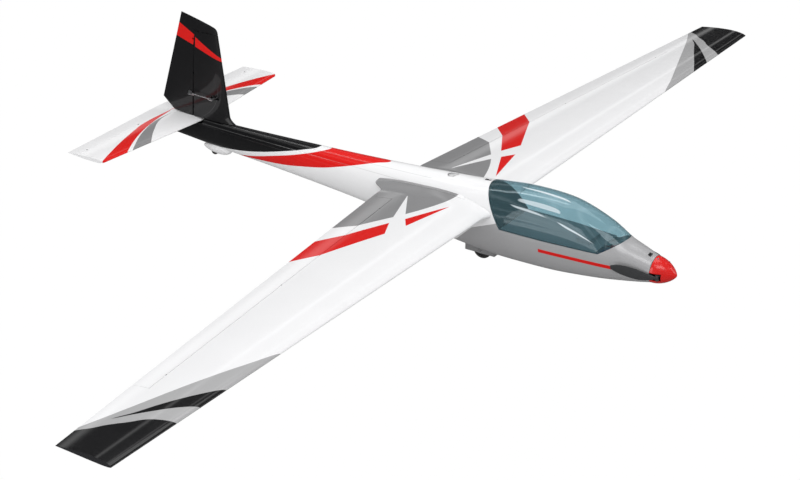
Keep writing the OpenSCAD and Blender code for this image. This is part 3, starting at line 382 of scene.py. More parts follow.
def mirrored(obj, name):
    """Copy of a finished left piece for the right side."""
    copy = obj.copy()
    copy.data = obj.data.copy()
    copy.name = name
    copy.data.name = name
    bpy.context.scene.collection.objects.link(copy)
    copy.data.transform(Matrix.Diagonal((-1, 1, 1, 1)))
    copy.data.flip_normals()
    return copy


def place(obj, body, slot, *nodes):
    """Finished piece: rides on a body and stands for CAD nodes, which it hides; its slot is not used."""
    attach(obj, body)
    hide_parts(*nodes)
    return obj


def pair(obj, body, slot, node):
    """Places a left piece and its mirror image, where {} in the body's and node's names is the side."""
    twin = mirrored(obj, obj.name.replace("left", "right"))
    for piece, side in ((obj, "left"), (twin, "right")):
        place(piece, body.format(side), slot, node.format(side))
    return [obj, twin]


def skin_normals(obj, field, limit):
    """Gives the faces on a smooth law their true normals, so that cuts don't disturb the shading."""
    mesh = obj.data
    points = np.zeros(len(mesh.vertices) * 3)
    mesh.vertices.foreach_get("co", points)
    points = points.reshape(-1, 3) / MM - SHIFT
    on_skin = np.abs(field(points)) < limit
    step = 0.05
    gradient = np.stack([
        field(points + step * axis) - field(points - step * axis) for axis in np.eye(3)
    ], axis=-1)
    gradient /= np.linalg.norm(gradient, axis=1)[:, None] + 1e-12
    normals = np.zeros((len(mesh.loops), 3))
    for polygon in mesh.polygons:
        corners = list(polygon.vertices)
        if on_skin[corners].all() and gradient[corners[0]] @ np.array(polygon.normal) > 0.8:
            normals[list(polygon.loop_indices)] = gradient[corners]
    mesh.normals_split_custom_set([tuple(n) for n in normals])
    return obj


# ---- Body ----

GROOVE_ANGLES = (28.0, 50.0)
GROOVE_HALF, GROOVE_DEPTH, GROOVE_FRONT = 1.2, 0.35, 150.0
SHELL_ARC = 44
# Moulded well round the wing lock screw, as (radius, height)
LOCK_Y, LOCK_WELL = 116.0, ((8.4, 35.2), (10.2, 36.2), (11.6, 38.4), (12.4, 41.5))
LOCK_DEEP, LOCK_HIGH, LOCK_HALF = 20, 60, 20
ELEVATOR_ROD_X, ELEVATOR_ROD_Z, ROD_HOLE_R = 5.6, -3, 3.4
# Low and high corners of the openings cut through the shell
BODY_SLOTS = (
    ((-11.8, 6, -128), (11.8, 78, -72)),  # main wheel's pod
    ((-11.3, -343.3, -32), (-0.7, -336.7, 8)),  # cooling duct
    ((-3.2, 24.5, 30), (3.2, 40.5, 90)),  # canopy latch
    ((-30, 758.6, 7.3), (30, 858.6, 47.3)),  # stabilizer
    ((-1.8, 704.7, 0), (1.8, 745.3, 60)),  # fin's tenon
    ((-4.5, 724, -55), (4.5, 746, -35)),  # tail wheel
)


def shell_shares():
    """Shares of the way round a section, with extra points for the two spine grooves."""
    even = np.linspace(0, 1, SHELL_ARC + 1)
    lines = [a / 180 for a in GROOVE_ANGLES]
    even = [s for s in even if min(abs(s - g) for g in lines) > 0.008 or s in (0, 1)]
    grooves = [g + d for g in lines for d in (-GROOVE_HALF / 180, 0, GROOVE_HALF / 180)]
    return np.array(sorted(list(even) + grooves))


def stations():
    """Distances back at which the body has a section, close together where the canopy's edge turns."""
    crowded = np.linspace(0, 1, 12) ** 2
    return np.unique(np.concatenate([
        np.linspace(RING_Y, RING_Y + LEAN_LENGTH, 9),
        np.linspace(RING_Y + LEAN_LENGTH, CANOPY_FRONT, 8),
        CANOPY_FRONT + crowded * (SILL_FRONT - CANOPY_FRONT),
        np.linspace(SILL_FRONT, SILL_REAR, 36),
        CANOPY_REAR - crowded * (CANOPY_REAR - SILL_REAR),
        np.linspace(CANOPY_REAR, 240, 30),
        np.linspace(240, 800, 56),
    ]).round(4))


def shell_ring(side, y, shares):
    angles = mix(cut_angle(y), math.pi, shares)
    outer = hull_point(np.full_like(angles, y), angles)
    if y > GROOVE_FRONT:
        middle = np.isin(np.round(shares, 6), [round(a / 180, 6) for a in GROOVE_ANGLES])
        outer[middle] = hull_point(np.full_like(angles, y), angles, GROOVE_DEPTH)[middle]
    inner = hull_point(np.full_like(angles, y), angles, SHELL_WALL)[::-1]
    ring = np.concatenate([outer, inner])
    ring[:, 0] *= side
    return ring


def closed_end(side, y, shares, inset):
    ring = shell_ring(side, y, shares)
    half = len(ring) // 2
    centre = np.array([0, y, hull_mid(y)])
    ring[half:] = centre + (ring[half:] - centre) * inset
    return ring


def lock_cup(side):
    """Half of the moulded cup round the lock screw, to join to one half of the shell."""
    rings = [(LOCK_WELL[0][0] + 0.3, LOCK_WELL[0][1] - SHELL_WALL)]
    rings += [(r + SHELL_WALL, z - SHELL_WALL / 2) for r, z in LOCK_WELL[:-1]]
    cup = lathe(rings, (0, LOCK_Y))
    middle = -side * LOCK_HALF
    low = (middle - LOCK_HALF, LOCK_Y - LOCK_HALF, LOCK_DEEP)
    return carve(cup, block(low, (middle + LOCK_HALF, LOCK_Y + LOCK_HALF, LOCK_HIGH)))


def body_cuts():
    """Cutters for the openings in the body's shell."""
    well = [(LOCK_WELL[0][0], LOCK_DEEP), *LOCK_WELL, (LOCK_WELL[-1][0], LOCK_HIGH)]
    rod = [(ELEVATOR_ROD_X, TAIL_END + d, ELEVATOR_ROD_Z) for d in (-10, 10)]
    slots = [block(low, high) for low, high in BODY_SLOTS]
    return slots[:2] + [lathe(well, (0, LOCK_Y))] + slots[2:] + [frustum(*rod, ROD_HOLE_R, ROD_HOLE_R)]


def mark_grooves(obj):
    """Stores on each vertex whether it lies in a spine groove, for the painted shade and highlight along the
    grooves.
    """
    mesh = obj.data
    flag = mesh.attributes.new("groove", "FLOAT", "POINT")
    points = np.zeros(len(mesh.vertices) * 3)
    mesh.vertices.foreach_get("co", points)
    x, y, z = (points.reshape(-1, 3) / MM - SHIFT).T
    across, above = np.abs(x) / hull_wide(y), (z - hull_mid(y)) / hull_tall(y)
    angle = np.degrees(np.arctan2(across, above))
    near = np.min([np.abs(angle - a) for a in GROOVE_ANGLES], axis=0) < 0.4
    outer = np.hypot(across, above) * hull_wide(y) > hull_wide(y) - 2 * GROOVE_DEPTH
    flag.data.foreach_set("value", (near & outer & (y > GROOVE_FRONT)).astype(np.float32))


def build_shell(side, node):
    shares = shell_shares()
    rings = [shell_ring(side, y, shares) for y in stations()]
    rings += [
        shell_ring(side, TAIL_END - TAIL_WALL - 0.2, shares),
        closed_end(side, TAIL_END - TAIL_WALL, shares, 0.02),
        closed_end(side, TAIL_END, shares, 0.02),
    ]
    obj = carve(loft(node + "_skin", rings), lock_cup(side), "UNION")
    carve_all(obj, body_cuts())
    mark_grooves(obj)
    shade(obj, 24)
    skin_normals(obj, hull_field, 1e-3)
    return place(obj, "airframe", "white_shell", node)


def build_canopy():
    def ring(y):
        edge = cut_angle(y, CANOPY_RAISE)
        angles = np.linspace(-edge, edge, 57)
        ys = np.full_like(angles, y)
        return np.concatenate([hull_point(ys, angles), hull_point(ys, angles[::-1], GLASS_WALL)])

    first, last = CANOPY_FRONT + GLASS_ENDS[0], CANOPY_REAR - GLASS_ENDS[1]
    stops = [first] + [y for y in stations() if first + 0.5 < y < last - 0.5] + [last]
    bubble = shade(loft("canopy_bubble", [ring(y) for y in stops]), 40)
    return place(bubble, "canopy", "canopy_glass", "canopy_glass")


# ---- Wing ----

def frame_on(start, end):
    """Matrix with +X along the line from start to end, as in the CAD's hinge frames."""
    d = np.array(end, float) - np.array(start, float)
    turn = Matrix.Rotation(math.atan2(d[1], d[0]), 4, "Z")
    tilt = Matrix.Rotation(-math.asin(d[2] / np.linalg.norm(d)), 4, "Y")
    return Matrix.Translation(Vector(start)) @ turn @ tilt


def shifted(matrix, x=0.0, y=0.0, z=0.0):
    return matrix @ Matrix.Translation((x, y, z))


def plate(name, outline, holes, thick, matrix):
    """Flat plate with rounded edges, drawn in the plane across a hinge frame's X axis."""
    edge = 0.18
    curve = bpy.data.curves.new(name, "CURVE")
    curve.dimensions = "2D"
    curve.fill_mode = "BOTH"
    curve.extrude = thick / 2 - edge
    curve.bevel_depth = edge
    curve.bevel_resolution = 2
    curve.offset = -edge
    for line in [outline, *holes]:
        spline = curve.splines.new("POLY")
        spline.points.add(len(line) - 1)
        for point, (u, v) in zip(spline.points, line):
            point.co = (u, v, 0, 1)
        spline.use_cyclic_u = True
    drawn = bpy.data.objects.new(name, curve)
    bpy.context.scene.collection.objects.link(drawn)
    bpy.context.view_layer.update()
    mesh = bpy.data.meshes.new_from_object(drawn.evaluated_get(bpy.context.evaluated_depsgraph_get()))
    bpy.data.objects.remove(drawn)
    solid = bmesh.new()
    solid.from_mesh(mesh)
    bmesh.ops.remove_doubles(solid, verts=solid.verts, dist=1e-4)
    solid.to_mesh(mesh)
    solid.free()
    upright = Matrix(((0, 0, 1, 0), (1, 0, 0, 0), (0, 1, 0, 0), (0, 0, 0, 1)))
    mesh.transform(Matrix.Scale(MM, 4) @ Matrix.Translation(Vector(SHIFT)) @ matrix @ upright)
    obj = bpy.data.objects.new(name, mesh)
    bpy.context.scene.collection.objects.link(obj)
    return shade(obj, 40)


def slot_outline(steps=10):
    """Slot in a lever that its pushrod's pin slides in."""
    r, top, low = 1.7, -LEVER_LEN - 0.8, -LEVER_LEN - 1.4
    upper = [(r * math.cos(a), top + r * math.sin(a)) for a in np.linspace(0, math.pi, steps)]
    lower = [(r * math.cos(a), low + r * math.sin(a)) for a in np.linspace(math.pi, 2 * math.pi, steps)]
    return upper + lower


def horn(name, root, matrix):
    """Control horn whose foot starts a distance inside its surface."""
    tip = -LEVER_LEN - 5.5
    outline = [
        (5, -root), (14, -root), (13, -root - 3.5), (3.6, tip + 0.8), (2.6, tip), (-2.4, tip),
        (-3.4, tip + 1), (-3.4, -LEVER_LEN + 2.5), (5, -root - 3.5),
    ]
    return plate(name, outline, [slot_outline()], LEVER_THICK, matrix)


def aileron_point(x):
    return (x, aileron_y(x), wing_top(x, aileron_y(x)) - AXIS_DEPTH)


AILERON_FRAME = frame_on(aileron_point(AILERON_IN), aileron_point(AILERON_OUT))
AILERON_LENGTH = float(np.linalg.norm(np.array(aileron_point(AILERON_OUT)) - aileron_point(AILERON_IN)))
AILERON_HINGES = (0.06, 0.5, 0.94)


SLOT_AHEAD, SLOT_ENDS, NOSE_BACK = -0.6, 0.7, 0.5
KNUCKLE_R, LOBE_R = 2.0, 1.45
# Low and high corners, in the hinge frame, of the room for the aileron's servo
SERVO_ROOM = (
    (-SERVO_REACH - SERVO_TALL - 1, -SERVO_BACK - 18, -60),
    (3, -SERVO_BACK + 10, SERVO_THIN / 2 + 0.3),
)


def aileron_plan(ahead, ends):
    low, high = AILERON_IN - ends, AILERON_OUT + ends
    outline = [(low, aileron_y(low) + ahead), (high, aileron_y(high) + ahead), (high, FAR), (low, FAR)]
    return prism(outline, 2, -60, 60)


def build_wing():
    panel = loft("wing_left_skin", [wing_ring(x) for x in np.linspace(RIB_X, HALF_SPAN, 9)])
    carve(panel, aileron_plan(SLOT_AHEAD, SLOT_ENDS))
    carve(panel, block(*SERVO_ROOM, shifted(AILERON_FRAME, AILERON_LINK)))
    shade(panel, 28)
    return pair(panel, "airframe", "white_skin", "wing_{}")


def build_ailerons():
    spans = np.linspace(AILERON_IN - 5, AILERON_OUT + 5, 9)
    panel = loft("aileron_left_skin", [wing_ring(x) for x in spans])
    carve(panel, aileron_plan(NOSE_BACK, 0), "INTERSECT")
    slope = math.tan(math.radians(AILERON_TRAVEL + 2))
    wedge = [(-6, 0), (NOSE_BACK, 0), (NOSE_BACK + 20 * slope, -20), (-6, -20)]
    carve(panel, prism(wedge, 0, -5, AILERON_LENGTH + 5, AILERON_FRAME))
    for share in AILERON_HINGES:
        hinge = shifted(AILERON_FRAME, share * AILERON_LENGTH)
        ends = (-KNUCKLE_HALF, 0, 0), (KNUCKLE_HALF, 0, 0)
        carve(panel, frustum(*ends, KNUCKLE_R, KNUCKLE_R, 32, hinge))
        for side in (-1, 1):
            ends = (side * KNUCKLE_HALF, 0, 0), (side * LOBE_LEN / 2, 0, 0)
            carve(panel, frustum(*ends, LOBE_R, LOBE_R, 32, hinge), "UNION")
    shade(panel, 28)
    lever = horn("aileron_left_horn", 3, shifted(AILERON_FRAME, AILERON_LINK))
    return (
        pair(panel, "aileron_{}", "white_skin", "aileron_{}"),
        pair(lever, "aileron_{}", "white_nylon", "aileron_{}"),
    )


BEADS, BEAD_WIDTH, BEAD_TALL, BEAD_FROM = (0.02, 0.085), 0.018, 1.5, 0.2
# Shares of the way out where thin dark lines are painted as shade in the creases beside the beads, their half
# width, and the distance back from which they run
LIP_SHADE_LINES, LIP_SHADE_WIDTH, LIP_SHADE_FROM = (0.052, 0.13), 0.006, 60.0
BACK_FROM, BACK_TO, BACK_THICK, BACK_ROUND = 0.82, 0.1, 3.4, 0.02
SKIN_LIFT, ROOT_FACE_STEPS = 0.3, 16


def fairing_ring(s, steps=72):
    """Fairing section at a share s of the way from the body's skin to the root rib."""
    t, side = chord_shares(steps)
    chord, flare = wing_chord(RIB_X), (1 - s) ** 2
    back = ease((BACK_FROM - s) / (BACK_FROM - BACK_TO))
    front = FAIRING_FRONT * flare
    y = wing_nose(RIB_X) - front + t * (chord + front + FAIRING_BACK * back)
    swell = ROOT_FLARE * flare * np.sin(np.pi * np.clip(t * 0.9 + 0.1, 0, 1))
    close = np.clip((1 - t) / BACK_ROUND, 0, 1)
    blunt = BACK_THICK * back * np.clip((t - 0.6) / 0.3, 0, 1) * np.sqrt(close)
    bead = BEAD_TALL * sum(math.exp(-(((s - spot) / BEAD_WIDTH) ** 2)) for spot in BEADS)
    bead = bead * np.clip((t - BEAD_FROM) / 0.1, 0, 1) * close
    section = camber(t) + side * half_thick(t, WING_THICKNESS)
    upward = np.where(section > camber(t), 1.0, -1.0)
    z = section * chord * (1 + 0.05 * flare) + upward * (swell + blunt + bead)
    return np.stack([mix(hull_half(y, z) + SKIN_LIFT, RIB_X, s), y, z], axis=-1)


def build_fairings():
    shares = np.concatenate([np.linspace(0, 0.15, 46), np.linspace(0.15, 1, 34)[1:]])
    rings = [fairing_ring(s) for s in shares]
    n = len(rings[0])
    faces = grid_faces(len(rings), n, n - 1)
    faces += [
        (i * n + n - 1, i * n, (i + 1) * n, (i + 1) * n + n - 1)
        for i in range(1, len(rings) - 1)
    ]
    faces.append(tuple((len(rings) - 1) * n + j for j in range(n)))
    points = list(np.concatenate(rings))
    # The root face follows the body's skin between the top and bottom edges.
    half, across = n // 2, ROOT_FACE_STEPS
    rows = []
    for j in range(half):
        upper, lower = rings[0][j], rings[0][n - 1 - j]
        row = []
        for k in range(across + 1):
            if k in (0, across):
                row.append(j if k == 0 else n - 1 - j)
                continue
            point = mix(upper, lower, k / across)
            point[0] = hull_half(point[1], point[2]) + SKIN_LIFT
            row.append(len(points))
            points.append(point)
        rows.append(row)
    rows.append([half] * (across + 1))
    faces.append(tuple(rows[0][::-1]) + (n, 2 * n - 1))
    for a, b in zip(rows[:-1], rows[1:]):
        for k in range(across):
            corners = list(dict.fromkeys((a[k], b[k], b[k + 1], a[k + 1])))
            if len(corners) > 2:
                faces.append(tuple(corners))
    obj = new_mesh("wing_fairing_left_skin", points, faces)
    # Marks the rings that carry the painted shade lines.
    lip = np.zeros(len(points), np.float32)
    for i, s in enumerate(shares):
        if min(abs(s - spot) for spot in LIP_SHADE_LINES) < LIP_SHADE_WIDTH:
            lip[i * n:(i + 1) * n] = rings[i][:, 1] > LIP_SHADE_FROM
    obj.data.attributes.new("groove", "FLOAT", "POINT").data.foreach_set("value", lip)
    outward(obj)
    shade(obj, 35)
    return pair(obj, "airframe", "gray_skin", "wing_fairing_{}")


# ---- Tail ----

def corner_outline(corner, a, b, r, steps=14):
    """Piece to take off a corner between directions a and b, in degrees, to round it with radius r."""
    a, b = math.radians(a), math.radians(b)
    half, mid = (b - a) / 2, (a + b) / 2
    corner = np.array(corner, float)
    centre = corner + r / math.sin(half) * np.array([math.cos(mid), math.sin(mid)])
    away = 3 * np.array([math.cos(mid), math.sin(mid)])
    near_a = corner + r / math.tan(half) * np.array([math.cos(a), math.sin(a)])
    near_b = corner + r / math.tan(half) * np.array([math.cos(b), math.sin(b)])
    start = math.atan2(*(near_a - centre)[::-1])
    end = math.atan2(*(near_b - centre)[::-1])
    sweep = (end - start + math.pi) % (2 * math.pi) - math.pi
    turns = [start + sweep * k / steps for k in range(steps + 1)]
    arc = [centre + r * np.array([math.cos(turn), math.sin(turn)]) for turn in turns]
    return [corner - away, near_a - away] + arc + [near_b - away]


RUDDER_FRAME = frame_on((0, *RUDDER_HIGH), (0, *RUDDER_LOW)) @ Matrix.Rotation(math.pi / 2, 4, "X")
RUDDER_LENGTH = math.dist(RUDDER_HIGH, RUDDER_LOW)
RUDDER_LINK, RUDDER_SERVO_BACK = RUDDER_LENGTH - (75 - FIN_BASE), 59.0
RUDDER_HINGES, RUDDER_GAP, RUDDER_TRAVEL = (0.1, 0.5, 0.9), 0.45, 30.0
# Where the rudder's bevels start, as the distance aft of its hinge line and out from the middle
BEVEL_FROM, BEVEL_REACH = (-0.6, 1.2), 10


def fin_form(name):
    shares = np.concatenate([np.linspace(0, 0.08, 9), np.linspace(0.08, 1, 16)[1:]])
    return loft(name, [fin_ring(s) for s in shares])


def build_fin():
    fin = fin_form("fin_skin")
    outline = [
        (600, FIN_BASE - 5), (rudder_y(FIN_BASE) - 1.8, FIN_BASE - 5),
        (rudder_y(CAP_Z) - 1.3, CAP_Z - 0.6), (600, CAP_Z - 0.6),
    ]
    carve(fin, prism(outline, 0, -40, 40), "INTERSECT")
    low, high = RUDDER_R_LOW + RUDDER_GAP, RUDDER_R_HIGH + RUDDER_GAP
    carve(fin, frustum((-2, 0, 0), (RUDDER_LENGTH + 4, 0, 0), high, low, 64, RUDDER_FRAME))
    low, high = (-SERVO_REACH, -RUDDER_SERVO_BACK - 12, -30), (3, -RUDDER_SERVO_BACK + 10, 0)
    carve(fin, block(low, high, shifted(RUDDER_FRAME, RUDDER_LINK)))
    shade(fin, 28)
    return place(fin, "airframe", "black_skin", "fin")


def build_rudder():
    rudder = fin_form("rudder_skin")
    outline = [
        (rudder_y(FIN_BASE), FIN_BASE), RUDDER_KINK, RUDDER_HEEL, (900, RUDDER_HEEL[1]), (900, 300),
        (650, 300), (650, CAP_Z + 0.6), (rudder_y(CAP_Z), CAP_Z + 0.6),
    ]
    carve(rudder, prism(outline, 0, -40, 40), "INTERSECT")
    carve(rudder, prism(corner_outline(FIN_NOSE_TOP, -98.2, 14.4, CAP_ROUND), 0, -40, 40))
    # Bevels let the rudder swing past the fin.
    slope = math.tan(math.radians(RUDDER_TRAVEL + 2))
    aft, out = BEVEL_FROM
    for side in (-1, 1):
        near, far = side * out, side * (out + BEVEL_REACH)
        wedge = [(-6, near), (aft, near), (aft + BEVEL_REACH * slope, far), (-6, far)]
        carve(rudder, prism(wedge, 0, 0, RUDDER_LENGTH + 20, RUDDER_FRAME))
    bar = frustum((0, 0, 0), (RUDDER_LENGTH - 2, 0, 0), RUDDER_R_HIGH, RUDDER_R_LOW, 64, RUDDER_FRAME)
    carve(rudder, bar, "UNION")
    for share in RUDDER_HINGES:
        hinge = shifted(RUDDER_FRAME, share * RUDDER_LENGTH)
        ends = (-KNUCKLE_HALF, 0, 0), (KNUCKLE_HALF, 0, 0)
        carve(rudder, frustum(*ends, RUDDER_R_LOW + 0.5, RUDDER_R_LOW + 0.5, 48, hinge))
    shade(rudder, 28)
    place(rudder, "rudder", "black_skin", "rudder")
    lever = horn("rudder_horn", 3, shifted(RUDDER_FRAME, RUDDER_LINK))
    return rudder, place(lever, "rudder", "dark_plastic", "rudder")


ELEVATOR_HINGES = (-0.9, -0.35, 0.35, 0.9)


def stab_form(name):
    form = loft(name, [stab_ring(x) for x in np.linspace(-STAB_HALF, STAB_HALF, 9)])
    outline = corner_outline((STAB_HALF, STAB_NOSE[1]), 90, 185, STAB_ROUND)
    for side in (-1, 1):
        carve(form, prism([(side * x, y) for x, y in outline], 2, -20, 50))
    return form


def elevator_cones(grow, extra):
    return [
        frustum(
            (0, ELEVATOR_Y, STAB_Z), (side * (STAB_HALF + extra), ELEVATOR_Y, STAB_Z),
            ELEVATOR_R_ROOT + grow, ELEVATOR_R_TIP + grow, 48,
        )
        for side in (-1, 1)
    ]


def build_stabilizer():
    obj = stab_form("stabilizer_skin")
    carve(obj, block((-FAR, ELEVATOR_Y - 1.3, -50), (FAR, ELEVATOR_Y + 60, 50)))
    carve_all(obj, elevator_cones(0.4, 1))
    return place(shade(obj, 28), "airframe", "white_skin", "stabilizer")


def build_elevator():
    obj = stab_form("elevator_skin")
    carve(obj, block((-FAR, ELEVATOR_Y - 120, -50), (FAR, ELEVATOR_Y, 50)))
    for cone in elevator_cones(0, 0):
        carve(obj, cone, "UNION")
    for share in ELEVATOR_HINGES:
        x = share * STAB_HALF
        ends = [(x + d, ELEVATOR_Y, STAB_Z) for d in (-KNUCKLE_HALF, KNUCKLE_HALF)]
        carve(obj, frustum(*ends, ELEVATOR_R_ROOT + 0.5, ELEVATOR_R_ROOT + 0.5, 48))
    place(shade(obj, 28), "elevator", "white_skin", "elevator")
    root = Matrix.Translation((ELEVATOR_ROD_X, ELEVATOR_Y, STAB_Z))
    lever = place(horn("elevator_horn", 2, root), "elevator", "white_nylon", "elevator")
    return obj, lever


# ---- Propeller ----

BLADE_ROWS = np.array([
    [3, 6, 3.6, 0, 0],
    [14, 12, 3, 10, -0.3],
    [34, 21, 2.3, 12, -3],
    [58, 23, 1.9, 9, -8.5],
    [78, 18, 1.5, 7, -13],
    [92, 8, 1, 6, -15.5],
])
PROP_TURN, BLADE_PIN_R, BLADE_PIN_Z, BLADE_FOLD = 12.0, 25.0, 17.0, 19.0
BLADE_LUG_R, BLADE_LUG_HALF, BLADE_PIN_HOLE_R = 3.4, 2.8, 1.55
# How the blade's rounded tip shrinks: distance along, share of the full section
BLADE_ROOT, BLADE_LEN, BLADE_CAP = 2.6, 92.0, ((0.8, 0.93), (1.4, 0.8), (1.8, 0.6), (2.0, 0.3))


def blade_ring(s, grow=1.0, steps=36):
    chord, thick, turn, sweep = (float(along(BLADE_ROWS, s, k)) for k in (1, 2, 3, 4))
    angles = np.linspace(0, 2 * np.pi, steps, endpoint=False)
    u, v = np.cos(angles) * chord * grow / 2, np.sin(angles) * thick * grow / 2
    v = v + 0.035 * chord * (1 - (2 * u / chord) ** 2)
    turn = math.radians(turn)
    return np.stack([
        np.full_like(angles, s),
        sweep + u * math.cos(turn) - v * math.sin(turn),
        u * math.sin(turn) + v * math.cos(turn),
    ], axis=-1)


def build_blade(side, half_turn):
    matrix = (
        Matrix.Translation((0, RING_Y, RING_Z))
        @ Matrix.Rotation(math.radians(90 + THRUST_TILT), 4, "X")
        @ Matrix.Rotation(math.radians(PROP_TURN + half_turn), 4, "Z")
        @ Matrix.Translation((BLADE_PIN_R, 0, BLADE_PIN_Z))
        @ Matrix.Rotation(math.radians(90 - BLADE_FOLD), 4, "Y")
    )
    rings = [blade_ring(s) for s in np.linspace(BLADE_ROOT, BLADE_LEN - BLADE_CAP[-1][0], 34)]
    rings += [blade_ring(BLADE_LEN - BLADE_CAP[-1][0] + d, grow) for d, grow in BLADE_CAP]
    obj = loft("propeller_blade_" + side + "_skin", rings, matrix)
    ends = (0, -BLADE_LUG_HALF, 0), (0, BLADE_LUG_HALF, 0)
    carve(obj, frustum(*ends, BLADE_LUG_R, BLADE_LUG_R, 48, matrix), "UNION")
    carve(obj, frustum((0, -9, 0), (0, 9, 0), BLADE_PIN_HOLE_R, BLADE_PIN_HOLE_R, 32, matrix))
    return place(shade(obj, 35), "blade_" + side, "blade_gray", "propeller_blade_" + side)


body_pieces = [build_shell(1, "fuselage_left"), build_shell(-1, "fuselage_right")]
canopy = build_canopy()
wing_pieces = build_wing()
aileron_pieces, aileron_horns = build_ailerons()
fairing_pieces = build_fairings()
fin = build_fin()
rudder, rudder_horn = build_rudder()
stabilizer = build_stabilizer()
elevator, elevator_horn = build_elevator()
blade_pieces = [build_blade("left", 0), build_blade("right", 180)]


# ---- Finishes ----

RED, WHITE, BLACK = (0.73, 0.003, 0.001), (0.87, 0.87, 0.88), (0.004, 0.004, 0.005)
WING_GRAY, TIP_GRAY, METAL_GRAY = (0.26, 0.26, 0.265), (0.42, 0.42, 0.425), (0.47, 0.47, 0.48)


class Nodes:
    """A node tree that is built with method calls."""

    def __init__(self, tree):
        self.tree, self.nodes = tree, tree.nodes

    def put(self, value, socket):
        """Links a socket, or sets a number or a colour."""
        if isinstance(value, bpy.types.NodeSocket):
            self.tree.links.new(value, socket)
        elif isinstance(value, tuple) and socket.type == "RGBA":
            socket.default_value = (*value, 1)
        else:
            socket.default_value = value

    def add(self, kind, values=(), operation=None, **settings):
        node = self.nodes.new(kind)
        if operation:
            node.operation = operation
        for name, value in settings.items():
            setattr(node, name, value)
        for value, socket in zip(values, node.inputs):
            if value is not None:
                self.put(value, socket)
        return node.outputs[0]

    def calc(self, operation, *values):
        return self.add("ShaderNodeMath", values, operation)

    def times(self, a, b):
        return self.calc("MULTIPLY", a, b)

    def minus(self, a, b):
        return self.calc("SUBTRACT", a, b)

    def split(self, vector):
        node = self.nodes.new("ShaderNodeSeparateXYZ")
        self.put(vector, node.inputs[0])
        return node.outputs

    def dot(self, a, b):
        node = self.nodes.new("ShaderNodeVectorMath")
        node.operation = "DOT_PRODUCT"
        self.put(a, node.inputs[0])
        self.put(b, node.inputs[1])
        return node.outputs["Value"]


